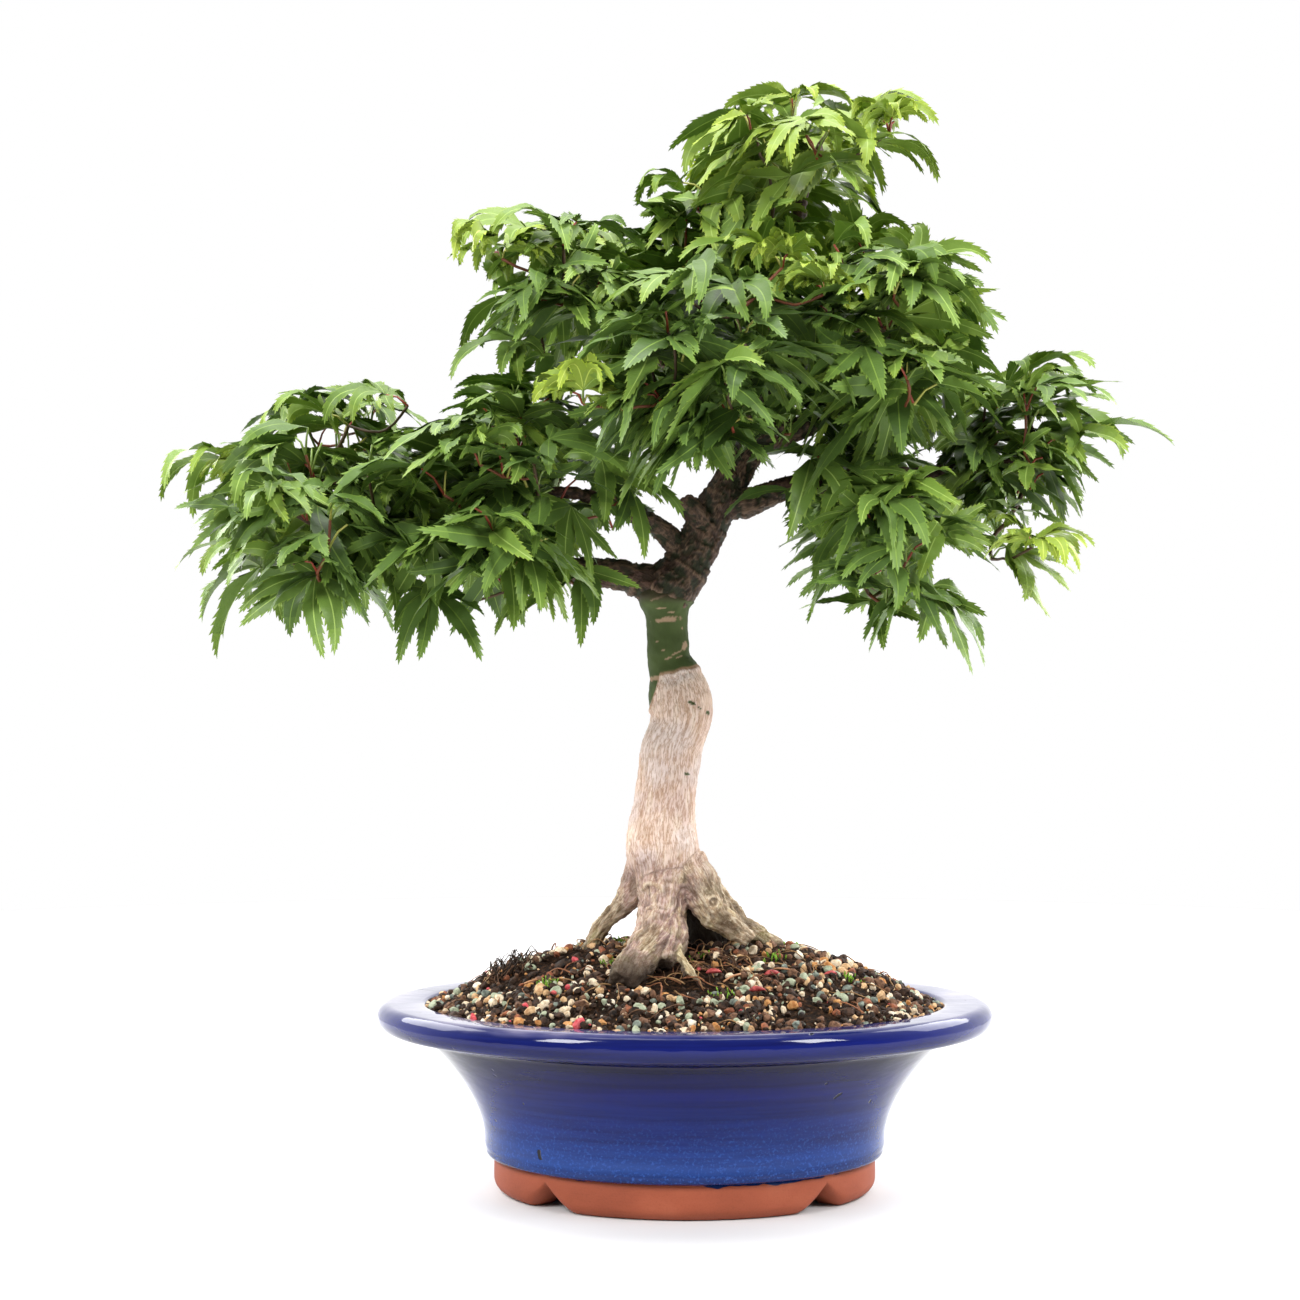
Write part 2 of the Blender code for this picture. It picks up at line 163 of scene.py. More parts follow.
class Nodes:
    """A tree of nodes being built."""

    def __init__(self, tree):
        self.tree = tree

    def feed(self, socket, value):
        """Links an output to an input, or sets the input to a number, triple or colour."""
        if isinstance(value, bpy.types.NodeSocket):
            self.tree.links.new(value, socket)
        else:
            socket.default_value = (*value, 1) if socket.type == "RGBA" else value

    def node(self, kind, inputs=None, **settings):
        made = self.tree.nodes.new(kind)
        for key, value in settings.items():
            setattr(made, key, value)
        for key, value in (inputs or {}).items():
            self.feed(made.inputs[key], value)
        return made


class Look(Nodes):
    """A material being built. Every method adds nodes and gives back an output to use."""

    def __init__(self, name, roughness=0.5, specular=0.5):
        self.material = bpy.data.materials.new(name)
        self.material.use_nodes = True
        super().__init__(self.material.node_tree)
        self.give("Roughness", roughness)
        self.give("Specular IOR Level", specular)

    def give(self, name, value):
        """Sets or links an input of the material's surface."""
        self.feed(self.tree.nodes["Principled BSDF"].inputs[name], value)

    def coords(self):
        found = self.tree.nodes.get("coords") or self.node("ShaderNodeTexCoord", name="coords")
        return found.outputs["Object"]

    def height(self):
        return self.node("ShaderNodeSeparateXYZ", {"Vector": self.coords()}).outputs["Z"]

    def attribute(self, name, out):
        return self.node("ShaderNodeAttribute", attribute_name=name).outputs[out]

    def maths(self, operation, *values):
        made = self.node("ShaderNodeMath", dict(enumerate(values)), operation=operation)
        return made.outputs["Value"]

    def between(self, source, low, high):
        """0 where the source is low, 1 where it is high."""
        made = self.node("ShaderNodeMapRange", {"Value": source, "From Min": low, "From Max": high})
        return made.outputs["Result"]

    def ramp(self, source, *stops):
        """A colour ramp with stops (place, colour)."""
        made = self.node("ShaderNodeValToRGB", {"Fac": source})
        elements = made.color_ramp.elements
        while len(elements) < len(stops):
            elements.new(0.5)
        for element, (place, colour) in zip(elements, stops):
            element.position = place
            element.color = (*colour, 1)
        return made.outputs["Color"]

    def grain(self, scale, detail, rough, squash=(1, 1, 1), way=None):
        """Noise, squashed along some axes, read at the object's or at other places."""
        place = self.node("ShaderNodeMapping",
                          {"Vector": self.coords() if way is None else way, "Scale": squash})
        made = self.node("ShaderNodeTexNoise", {"Vector": place.outputs["Vector"], "Scale": scale,
                                                "Detail": detail, "Roughness": rough})
        return made.outputs["Fac"]

    def blend(self, kind, factor, a, b):
        made = self.node("ShaderNodeMix", {0: factor, 6: a, 7: b},
                         data_type="RGBA", blend_type=kind, clamp_result=True)
        return made.outputs[2]

    def bump(self, source, strength, distance, onto=None, invert=False):
        made = self.node("ShaderNodeBump", {"Strength": strength, "Distance": distance,
                                            "Height": source}, invert=invert)
        if onto is not None:
            self.feed(made.inputs["Normal"], onto)
        return made.outputs["Normal"]


def plain(name, colour, roughness=0.5, specular=0.5):
    look = Look(name, roughness, specular)
    look.give("Base Color", colour)
    return look.material


# ------------------------------------------------------------------ pot

NOTCHES = (45, 135, -45, -135)   # where the foot is cut between its feet, in degrees
NOTCH_HALF = 10.5                # degrees
NOTCH_HEIGHT = 10.5 * MM


def arc(r, z, radius, start, end, steps):
    """Points of an arc about (r, z), from one angle to another in degrees."""
    turns = [math.radians(start + (end - start) * i / steps) for i in range(steps + 1)]
    return [(r + radius * math.cos(turn), z + radius * math.sin(turn)) for turn in turns]


def spun_oval(name, profile, steps, look):
    """A closed profile of (r, z) in mm, spun about the pot's axis, then squeezed front to
    back."""
    bm = bmesh.new()
    verts = [bm.verts.new((r * MM, 0, z * MM)) for r, z in profile]
    edges = [bm.edges.new(pair) for pair in zip(verts, verts[1:])]
    bmesh.ops.spin(bm, geom=verts + edges, cent=(0, 0, 0), axis=(0, 0, 1),
                   angle=math.tau, steps=steps, use_merge=True)
    bmesh.ops.remove_doubles(bm, verts=bm.verts, dist=1e-6)
    bmesh.ops.scale(bm, vec=(1, POT_SQUEEZE, 1), verts=bm.verts)
    bmesh.ops.translate(bm, vec=(POT_X, 0, 0), verts=bm.verts)
    bmesh.ops.recalc_face_normals(bm, faces=bm.faces)
    mesh = mesh_from(name, bm)
    mesh.shade_smooth()
    return link(name, mesh, [look])


def glaze_material():
    """Cobalt glaze: pale on the rim's edge, banded on the wall, speckled above the foot."""
    look = Look("cobalt_glaze", 0.07)
    look.give("IOR", 1.35)
    height = look.height()
    wavy = look.maths("MULTIPLY_ADD", look.grain(22, 3, 0.5, (1, 1, 2.2)), 0.010, height)
    body = look.ramp(
        look.between(wavy, 0.016, 0.086),
        (0.0, (0.002, 0.004, 0.018)), (0.045, (0.004, 0.014, 0.085)),
        (0.13, (0.006, 0.036, 0.19)), (0.36, (0.005, 0.019, 0.155)),
        (0.58, (0.004, 0.007, 0.105)), (0.70, (0.003, 0.004, 0.052)),
        (0.765, (0.003, 0.003, 0.018)), (0.80, (0.002, 0.004, 0.05)),
        (0.90, (0.003, 0.007, 0.10)), (0.955, (0.004, 0.008, 0.08)),
        (0.975, (0.05, 0.05, 0.13)), (1.0, (0.22, 0.20, 0.28)))
    bands = look.ramp(look.grain(9, 4, 0.6, (1, 1, 26)), (0.36, (0.40, 0.38, 0.52)),
                      (0.50, (0.88, 0.88, 0.9)), (0.62, (1.2, 1.2, 1.15)))
    banded = look.blend("MULTIPLY", 0.75, body, bands)
    specks = look.ramp(look.grain(900, 2, 0.6), (0.53, (0, 0, 0)), (0.72, (1, 1, 1)))
    amount = look.maths("MULTIPLY", specks, look.between(height, 0.044, 0.020))
    speckled = look.blend("MIX", amount, banded, (0.018, 0.075, 0.33))
    pit = look.ramp(look.grain(170, 1, 0.5), (0.205, (1, 1, 1)), (0.235, (0, 0, 0)))
    look.give("Base Color", look.blend("MIX", pit, speckled, (0.002, 0.003, 0.01)))
    hills = look.bump(look.grain(60, 2, 0.5, (1, 1, 3.0)), 0.12, 0.002)
    look.give("Normal", look.bump(pit, 0.35, 0.0006, hills, invert=True))
    return look.material


def clay_material():
    """Bare red clay; the glaze has run a little over its top, in a wavy line."""
    look = Look("bare_clay", specular=0.3)
    tone = look.ramp(look.grain(26, 4, 0.6, (1, 1, 1.6)), (0.3, (0.25, 0.056, 0.024)),
                     (0.55, (0.32, 0.075, 0.034)), (0.75, (0.38, 0.100, 0.048)))
    dust = look.grain(1400, 2, 0.6)
    grit = look.ramp(dust, (0.3, (0.82, 0.8, 0.78)), (0.5, (1, 1, 1)), (0.72, (1.0, 0.96, 0.9)))
    toned = look.blend("MULTIPLY", 0.55, tone, grit)
    drips = look.grain(42, 3, 0.55, (1, 1, 0.05))
    run = look.between(look.maths("MULTIPLY_ADD", drips, 0.009, look.height()), 0.0191, 0.0195)
    stained = look.ramp(run, (0.0, (1, 1, 1)), (0.35, (0.25, 0.20, 0.22)),
                        (0.6, (0.012, 0.035, 0.16)))
    under = look.blend("MULTIPLY", 1.0, toned, stained)
    look.give("Base Color", look.blend("MIX", run, under, (0.004, 0.016, 0.085)))
    look.give("Roughness", look.ramp(run, (0.3, (0.62, 0.62, 0.62)), (0.7, (0.12, 0.12, 0.12))))
    rough = look.bump(dust, 0.25, 0.0003)
    look.give("Normal", look.bump(look.grain(130, 3, 0.6, (1, 1, 9)), 0.12, 0.0006, rough))
    return look.material


def wall_curve(steps):
    """(r, z) down the bell-shaped outer wall, in mm."""
    top, bottom = 65.0, 20.5
    found = []
    for i in range(steps + 1):
        z = top + (bottom - top) * (i / steps)
        share = min(1.0, max(0.0, (z - 22.0) / 43.4))
        found.append((85.2 + 26.0 * share ** 1.8, z))
    return found


def make_pot():
    inside = [(0, 23), (66, 23), (74, 27), (80, 36), (88, 50), (98, 62), (106, 71)]
    rim = arc(112.2, 76.6, 2.6, 165, 95, 6) + [(115.5, 79.28), (120, 79.42)]
    rim += arc(125.1, 73.75, 5.65, 92, -70, 20)
    rim += [(124.6, 67.9), (121.5, 67.2), (117.6, 66.6), (114.4, 66.2), (112.4, 65.7)]
    heel = [(85.05, 19.6), (84.7, 18.4)] + arc(82.3, 17.4, 2.3, 15, -70, 7)
    under = [(81.9, 14.75), (79, 14.65), (0, 14.65)]
    bowl = spun_oval("glazed_bowl", inside + rim + wall_curve(34) + heel + under, 200,
                     glaze_material())
    finish_piece(bowl, "glaze", "pot_bowl")

    ring = [(67.9, 0), (75.0, 0)] + arc(75.4, 5.6, 5.6, -90, -4, 11)
    ring += [(81.05, 8.6), (81.0, 12), (80.9, 15.4), (78, 15.5), (67.9, 15.5), (67.9, 8), (67.9, 3),
             (67.9, 0)]
    foot = spun_oval("clay_foot", ring, 360, clay_material())
    co = np.array([v.co for v in foot.data.vertices])
    turn = np.degrees(np.arctan2(co[:, 1] / POT_SQUEEZE, co[:, 0] - POT_X))
    lift = np.zeros(len(co))
    for middle in NOTCHES:
        off = np.abs((turn - middle + 180) % 360 - 180) / NOTCH_HALF
        lift = np.maximum(lift, NOTCH_HEIGHT * np.clip(1 - off, 0, 1) ** 1.7)
    top = 15.0 * MM
    co[:, 2] = np.where(co[:, 2] < top, lift + co[:, 2] * (top - lift) / top, co[:, 2])
    set_corners(foot.data, co)
    foot.data.update()
    finish_piece(foot, "terracotta", "foot_front", "foot_back", "foot_left", "foot_right")


# ------------------------------------------------------------------ tubes

def smooth_path(stations, spacing):
    """Rows through all the stations, in metres, evenly curved between them."""
    rows = [np.array(s) * MM for s in stations]
    rows = [rows[0] * 2 - rows[1], *rows, rows[-1] * 2 - rows[-2]]
    found = []
    for a, b, c, d in zip(rows, rows[1:], rows[2:], rows[3:]):
        steps = max(1, round(float(np.linalg.norm((c - b)[:3])) / spacing))
        for i in range(steps):
            t = i / steps
            found.append(0.5 * (2 * b + (c - a) * t + (2 * a - 5 * b + 4 * c - d) * t * t
                                + (3 * b - a - 3 * c + d) * t ** 3))
    found.append(rows[-2])
    return np.array(found)


def path_frames(points):
    """Tangent and two steady side directions at every point of a path."""
    tangent = unit(np.gradient(points, axis=0))
    side = np.zeros_like(points)
    start = np.array((0.0, 1.0, 0.0)) if abs(tangent[0][1]) < 0.9 else np.array((1.0, 0.0, 0.0))
    side[0] = unit(np.cross(tangent[0], start))
    for i in range(1, len(points)):
        s = side[i - 1] - tangent[i] * np.dot(side[i - 1], tangent[i])
        side[i] = unit(s)
    return tangent, side, np.cross(tangent, side)


def tube_arrays(path, sides):
    """Corners and triangles of a closed tube along rows (x, y, z, radius)."""
    points, radius = path[:, :3], path[:, 3]
    _, a, b = path_frames(points)
    turn = (np.arange(sides) * math.tau / sides)[None, :, None]
    ring = a[:, None] * np.cos(turn) + b[:, None] * np.sin(turn)
    co = (points[:, None] + ring * radius[:, None, None]).reshape(-1, 3)
    n = len(points)
    here = np.arange(n * sides).reshape(n, sides)
    beside = np.roll(here, -1, axis=1)
    first, last = np.full(sides, n * sides), np.full(sides, n * sides + 1)
    corners = ((here[:-1], beside[:-1], beside[1:]), (here[:-1], beside[1:], here[1:]),
               (beside[0], here[0], first), (here[-1], beside[-1], last))
    tris = np.concatenate([np.stack(three, -1).reshape(-1, 3) for three in corners])
    return np.concatenate([co, points[:1], points[-1:]]), tris


# ------------------------------------------------------------------ soil and grit

#  a grit's darkest and palest colour
GRIT_TONES = {
    "grit_cream": ((0.46, 0.34, 0.21), (0.72, 0.61, 0.45)),
    "grit_tan": ((0.38, 0.215, 0.10), (0.62, 0.42, 0.23)),
    "grit_amber": ((0.30, 0.115, 0.03), (0.52, 0.27, 0.10)),
    "grit_brown": ((0.075, 0.035, 0.02), (0.20, 0.105, 0.06)),
    "grit_umber": ((0.016, 0.009, 0.006), (0.066, 0.035, 0.022)),
    "grit_pale": ((0.55, 0.46, 0.34), (0.78, 0.71, 0.58)),
    "grit_sage": ((0.21, 0.235, 0.155), (0.37, 0.405, 0.285)),
    "grit_slate": ((0.085, 0.10, 0.085), (0.20, 0.23, 0.19)),
    "grit_rust": ((0.12, 0.04, 0.02), (0.30, 0.105, 0.05)),
    "bud_red": ((0.40, 0.03, 0.04), (0.60, 0.12, 0.13)),
    "humus_crumb": ((0.006, 0.004, 0.003), (0.038, 0.019, 0.010)),
    "moss_green": ((0.06, 0.13, 0.012), (0.20, 0.36, 0.03)),
}
#  how common each of them is, and among the humus crumbs
GRIT_SHARES = (0.125, 0.12, 0.055, 0.20, 0.215, 0.035, 0.09, 0.05, 0.06, 0.010, 0.12, 0.0)
CRUMB_SHARES = (0, 0, 0, 0, 0.12, 0, 0, 0, 0, 0, 0.88, 0)

#  materials of what lies on the soil
HAIR_BROWN, HAIR_DARK, MOSS, BUD_SCALE, STALK = 1, 3, 4, 5, 6

#  red bud scales and leaf stalks lying on the soil: x, y, length in mm, heading, material
FALLEN = (
    (23, -33, 7.0, 15, BUD_SCALE), (19.5, -31, 5.0, 70, BUD_SCALE), (47, -34, 7.5, 20, BUD_SCALE),
    (40, -50, 7.0, 8, BUD_SCALE), (30, -42, 21, 50, STALK), (-38, -48, 6, 120, BUD_SCALE),
    (62, -30, 16, 150, STALK), (-52, -30, 14, 30, STALK), (78, -22, 6, 200, BUD_SCALE))
#  mossy sprigs: x and y in mm, how many
SPRIGS = ((-12, 16, 26), (-16, -18, 16), (52, -14, 22), (62, 10, 14), (-42, -34, 22), (30, -52, 14),
          (84, -20, 16), (20, -12, 12))


def mound(x, y):
    """Height of the soil's smooth surface at (x, y), and its share of the way to the edge.
    A dome behind the trunk; from its crest it slopes straight down to the front rim."""
    side = np.abs(x - POT_X) / SOIL_EDGE_R
    deep = np.abs(y) / POT_SQUEEZE / SOIL_EDGE_R
    share = np.hypot(side, deep)
    flat = SOIL_FLAT_R / SOIL_EDGE_R

    def dome(s):
        out = np.clip((s - flat) / (1 - flat), 0, 1)
        return (SOIL_TOP - SOIL_EDGE) * (1 - out * out) ** 1.45

    way = np.clip(deep / np.sqrt(np.maximum(1 - side * side, 1e-6)), 0, 1)
    front = np.minimum(dome(share), dome(np.minimum(side, 1)) * (1 - way) * 1.02)
    return SOIL_EDGE + np.where(y < 0, front, dome(share)), share


def soil_bumps(x, y):
    return np.array([noise.fractal(Vector((a * 55, b * 55, 3.1)), 0.8, 2.1, 5)
                     for a, b in zip(x, y)])


def soil_material():
    look = Look("dark_humus", 0.9, 0.08)
    crumbs = look.grain(460, 5, 0.7)
    look.give("Base Color", look.ramp(
        crumbs, (0.34, (0.003, 0.002, 0.0015)), (0.5, (0.016, 0.008, 0.004)),
        (0.62, (0.050, 0.023, 0.011)), (0.76, (0.15, 0.075, 0.034))))
    look.give("Normal", look.bump(crumbs, 1.0, 0.0022))
    return look.material


def grown_rim(bm, rim):
    """Extrudes a rim of edges and gives back its new corners."""
    made = bmesh.ops.extrude_edge_only(bm, edges=rim)["geom"]
    return [g for g in made if isinstance(g, bmesh.types.BMVert)]


def make_soil():
    """The mound in rings about the pot's middle, with a skirt that tucks in below."""
    rings, hub, step = 73, 0.5, 1.496
    bm = bmesh.new()
    bmesh.ops.create_circle(bm, cap_ends=False, segments=220, radius=hub * MM)
    for ring in range(1, rings + 1):
        rim = [e for e in bm.edges if e.is_boundary or e.is_wire]
        if ring > 1:
            rim = [e for e in rim if e.verts[0].co.xy.length > 1.2 * MM * (ring - 1) * 0.9]
        goal = (hub + step * ring) * MM
        for v in grown_rim(bm, rim):
            v.co *= goal / v.co.length
    middle = [e for e in bm.edges if e.is_boundary and e.verts[0].co.length < 1 * MM]
    bmesh.ops.contextual_create(bm, geom=middle)
    co = np.array([v.co for v in bm.verts])
    x, y = co[:, 0] + POT_X, co[:, 1] * POT_SQUEEZE
    z, share = mound(x, y)
    z = z + soil_bumps(x, y) * 1.3 * MM * np.clip((1.0 - share) * 14, 0, 1) - 0.6 * MM
    for v, place in zip(bm.verts, zip(x, y, z)):
        v.co = place
    for v in grown_rim(bm, [e for e in bm.edges if e.is_boundary]):
        v.co = (POT_X + (v.co.x - POT_X) * 0.87, v.co.y * 0.87, 60 * MM)
    bmesh.ops.contextual_create(bm, geom=[e for e in bm.edges if e.is_boundary])
    bmesh.ops.recalc_face_normals(bm, faces=bm.faces)
    mesh = mesh_from("humus", bm)
    mesh.shade_smooth()
    finish_piece(link("humus", mesh, [soil_material()]), "soil", "soil")


def pebble_shapes(rng, subdivisions, count):
    """A few rounded, slightly angular stone shapes, as arrays of corners and triangles."""
    found = []
    for _ in range(count):
        bm = bmesh.new()
        bmesh.ops.create_icosphere(bm, subdivisions=subdivisions, radius=0.5)
        shift = Vector(rng.uniform(-50, 50, 3))
        cuts = [(Vector(unit(rng.normal(size=3))), rng.uniform(0.27, 0.42)) for _ in range(5)]
        for v in bm.verts:
            v.co *= 1.0 + 0.30 * noise.noise(v.co * 2.6 + shift)
            for facing, depth in cuts:
                over = v.co.dot(facing) - depth
                if over > 0:
                    v.co -= facing * over * 0.85
        found.append(shape_arrays(bm))
    return found


def random_turns(rng, n):
    a, b, c, d = unit(rng.normal(size=(n, 4))).T
    rows = ((1 - 2 * (c * c + d * d), 2 * (b * c - a * d), 2 * (b * d + a * c)),
            (2 * (b * c + a * d), 1 - 2 * (b * b + d * d), 2 * (c * d - a * b)),
            (2 * (b * d - a * c), 2 * (c * d + a * b), 1 - 2 * (b * b + c * c)))
    return np.stack([np.stack(row, -1) for row in rows], 1)


def humus_grain(name, low, high, scale=620, rough=0.7):
    """A matt material that wanders between two colours at a fine scale."""
    look = Look(name, rough, 0.18)
    wander = look.grain(scale, 3, 0.6)
    look.give("Base Color", look.ramp(wander, (0.36, low), (0.62, high)))
    look.give("Normal", look.bump(wander, 0.5, 0.0005))
    return look.material


def grit_materials():
    return [bpy.data.materials.get(name) or humus_grain(name, *ends)
            for name, ends in GRIT_TONES.items()]


def scatter_grit(name, rng, count, sizes, subdivisions, sunk, shares, bare_middle):
    """Sprays stones over the mound, thicker near its edge and in patches; bare_middle
    thins them in front of the roots."""
    shapes = pebble_shapes(rng, subdivisions, 14)
    turn = rng.uniform(0, math.tau, count)
    share = np.sqrt(rng.uniform(0, 1, count)) * 0.985
    x = POT_X + SOIL_EDGE_R * share * np.cos(turn)
    y = POT_SQUEEZE * SOIL_EDGE_R * share * np.sin(turn)
    clump = np.array([noise.noise(Vector((a * 38, b * 38, 9.0))) for a, b in zip(x, y)])
    away = ((x - 2 * MM) / (34 * MM)) ** 2 + ((y + 26 * MM) / (26 * MM)) ** 2
    hollow = np.exp(-away) * bare_middle
    wanted = np.clip(0.62 + 0.5 * share ** 3 + 0.9 * clump, 0.12, 1.0) - hollow
    keep = rng.uniform(0, 1, count) < wanted
    x, y = x[keep], y[keep]
    n = len(x)
    size = sizes[0] + (sizes[1] - sizes[0]) * rng.beta(1.5, 3.0, n)
    z = mound(x, y)[0] + soil_bumps(x, y) * 1.2 * MM - 0.6 * MM
    z = z + size * (sunk + 0.2 * rng.uniform(-0.5, 1, n))
    scale = size[:, None] * np.stack([rng.uniform(0.85, 1.3, n), rng.uniform(0.7, 1.0, n),
                                      rng.uniform(0.5, 0.85, n)], -1)
    spin = random_turns(rng, n)
    pick = rng.integers(0, len(shapes), n)
    tone = rng.choice(len(shares), n, p=np.array(shares) / sum(shares))
    parts = []
    for i in range(n):
        shape, tris = shapes[pick[i]]
        parts.append(((shape * scale[i]) @ spin[i].T + (x[i], y[i], z[i]), tris, tone[i]))
    finish_piece(joined(name, parts, grit_materials(), smooth=False), "soil")


def strand(rng, x, y, heading, length, radius, tone, lift, curl):
    """A hair that wanders over the soil from (x, y) and arches off it by its lift."""
    steps = max(4, int(length / (1.6 * MM)))
    place, rows = np.array((x, y)), []
    for i in range(steps + 1):
        t = i / steps
        ground = mound(place[0], place[1])[0] + 0.5 * MM
        z = ground + lift * math.sin(math.pi * min(1, t * 1.1))
        rows.append((place[0], place[1], z, radius * (1 - 0.5 * t)))
        heading += rng.normal(0, curl)
        place = place + np.array((math.cos(heading), math.sin(heading))) * length / steps
    return *tube_arrays(np.array(rows), 4), tone


def sprig(rng, x, y):
    a, b = (x + rng.normal(0, 2.2)) * MM, (y + rng.normal(0, 2.2)) * MM
    z = mound(a, b)[0]
    rows = [(a, b, z, 0.3 * MM), (a + rng.normal(0, 0.5) * MM, b + rng.normal(0, 0.5) * MM,
                                  z + rng.uniform(1.2, 2.6) * MM, 0.25 * MM)]
    return *tube_arrays(np.array(rows), 4), MOSS


def fallen(x, y, length, heading, tone):
    """A bud scale, fat in the middle, or a thin stalk, arched over the grit."""
    lying = mound(x * MM, y * MM)[0] + 1.6 * MM
    a = math.radians(heading)
    rows = []
    for t in np.linspace(0, 1, 9):
        fat = 0.15 + 0.15 * length * math.sin(math.pi * t ** 0.8)
        rows.append(((x + length * t * math.cos(a)) * MM, (y + length * t * math.sin(a)) * MM,
                     lying + (1.0 - 4 * (t - 0.5) ** 2) * length * 0.10 * MM,
                     fat * MM if tone == BUD_SCALE else 0.42 * MM))
    return *tube_arrays(np.array(rows), 8), tone


def make_fibres(rng):
    """Dry root hairs lying on the soil, a dark tuft at the left and a few mossy sprigs."""
    parts = []
    for i in range(240):
        turn, share = rng.uniform(0, math.tau), math.sqrt(rng.uniform(0, 1)) * 0.9
        if i < 110:
            turn, share = rng.uniform(-2.6, -0.6), rng.uniform(0.12, 0.55)
        x = POT_X + SOIL_EDGE_R * share * math.cos(turn)
        y = POT_SQUEEZE * SOIL_EDGE_R * share * math.sin(turn)
        parts.append(strand(rng, x, y, rng.uniform(0, math.tau), rng.uniform(6, 22) * MM,
                            rng.uniform(0.16, 0.42) * MM, rng.choice(4, p=(0.35, 0.3, 0.25, 0.1)),
                            rng.uniform(0.2, 3.2) * MM, 0.28))
    for i in range(60):
        turn = rng.uniform(0, math.tau)
        x = (-60 + 9 * math.cos(turn) * rng.uniform() ** 0.5) * MM
        y = (-4 + 8 * math.sin(turn)) * MM
        parts.append(strand(rng, x, y, rng.uniform(0, math.tau), rng.uniform(6, 13) * MM,
                            rng.uniform(0.2, 0.4) * MM,
                            rng.choice((HAIR_BROWN, HAIR_DARK, HAIR_DARK)),
                            rng.uniform(2, 7) * MM, 0.5))
    parts += [sprig(rng, x, y) for x, y, count in SPRIGS for _ in range(count)]
    parts += [fallen(*row) for row in FALLEN]
    mats = [humus_grain("root_hair_tan", (0.16, 0.085, 0.035), (0.34, 0.20, 0.09), 500),
            humus_grain("root_hair_brown", (0.045, 0.022, 0.012), (0.12, 0.06, 0.03), 500, 0.75),
            humus_grain("root_hair_rust", (0.14, 0.05, 0.025), (0.30, 0.13, 0.06), 500),
            humus_grain("root_hair_dark", (0.008, 0.005, 0.004), (0.035, 0.02, 0.012), 500, 0.8),
            bpy.data.materials["moss_green"],
            humus_grain("fallen_bud_scale", (0.16, 0.018, 0.018), (0.46, 0.085, 0.08), 420, 0.45),
            humus_grain("fallen_stalk", (0.30, 0.13, 0.06), (0.46, 0.24, 0.12), 300, 0.6)]
    finish_piece(joined("root_hairs_and_moss", parts, mats), "soil")


# ------------------------------------------------------------------ trunk, roots and boughs

#  stations along each limb: x, y, z and radius, in mm
TRUNK = (
    (7, 1, 118, 9.5), (6, 1, 128, 12.5), (5.2, 0, 136, 14.8), (5.4, 0, 143.2, 15.6),
    (5.1, 0, 151.7, 14.6), (6.2, 0, 162.4, 13.5), (7.7, 0, 173.1, 12.9), (8.8, 0, 185.1, 13.2),
    (10.1, 0, 189.4, 12.9), (11.8, 0, 193.6, 12.5), (13.1, 0, 197.9, 12.9),
    (13.2, 0, 204.5, 13.5), (11.8, 0, 213.5, 12.3), (10.1, 0, 219.5, 10.6), (8.1, 0, 224.5, 9.2),
    (7.9, 0, 231, 8.9), (7.3, 0, 239.5, 8.8), (6.9, 0, 246, 10.0), (6.6, 0, 250.5, 12.4),
    (7.6, 0, 254.5, 10.5))
ROOTS = {
    "root_left": (
        (-2.1, 1, 135.4, 8.5), (-5.6, 1, 127.7, 6.4), (-9.9, 2, 121.6, 4.9),
        (-14.6, 3, 116.4, 4.2), (-19.8, 4, 111.2, 4.1), (-23.3, 5, 105.5, 4.2),
        (-25.5, 6, 99.4, 4.6), (-26.8, 6, 93, 4.6)),
    "front_root": (
        (6, -1, 135.6, 14), (6, -4, 128.6, 12), (6, -7, 121.6, 10.1), (4.9, -10, 115.1, 9.8),
        (3.8, -14, 110.5, 10), (1.3, -20, 105.6, 10.2), (-3.3, -27, 101.4, 9),
        (-8.3, -35, 97, 7.4), (-11.5, -42, 92.2, 5.4)),
    "front_root_right": (
        (7.6, -14, 111.3, 8), (8.8, -20, 106.1, 7.2), (7.5, -25, 101.6, 6), (5.8, -30, 97.7, 4.6)),
    "root_small": (
        (8.8, -22, 105.9, 3.4), (10.4, -25, 103.7, 2.8), (13.3, -29, 100.4, 2.4),
        (15.9, -33, 96.8, 2), (18.1, -37, 94, 1.6), (19.7, -40, 91.1, 1.2)),
    "root_small_fork": ((13.7, -29, 100, 1.8), (13.2, -33, 96.4, 1.4), (14, -37, 92.8, 1.1)),
    "root_right": (
        (13.7, 1, 136.3, 11), (18, 2, 130.2, 9.6), (22.3, 2, 125.5, 8.6), (26.2, 2, 121.6, 8),
        (30.1, 3, 117.7, 7.2), (34.5, 4, 113.8, 6.2), (39.7, 6, 110.1, 5.0),
        (45.4, 8, 106.5, 4.0), (52, 10, 102.4, 3.1), (59.1, 12, 98.7, 2.4)),
    "root_right_low": (
        (17.1, -4, 134.1, 9), (20.9, -6, 127.4, 8.6), (23.8, -8, 122.5, 7.8),
        (27.2, -9, 118, 6.6), (31.4, -10, 113.8, 5.2), (36.4, -11, 109.7, 4),
        (42.3, -12, 105.6, 2.8)),
    # a root in the dark hollow between the front and right roots, painted almost black as painted
    # shade
    "root_in_shade": ((14, 8, 126, 7), (20, 12, 118, 7), (24.5, 14, 109, 7.5), (27, 14, 99, 8)),
    "root_back": (
        (8.6, 6, 129.9, 12), (7.9, 16, 120.4, 9), (6.2, 30, 111.2, 7.2), (4.5, 42, 103, 5.6),
        (3.6, 52, 95.6, 4.2)),
    "root_back_right": (
        (14.7, 8, 129.7, 9), (21.9, 18, 119.4, 7), (29.1, 28, 109.7, 5.4), (35.7, 38, 101.6, 4)),
}
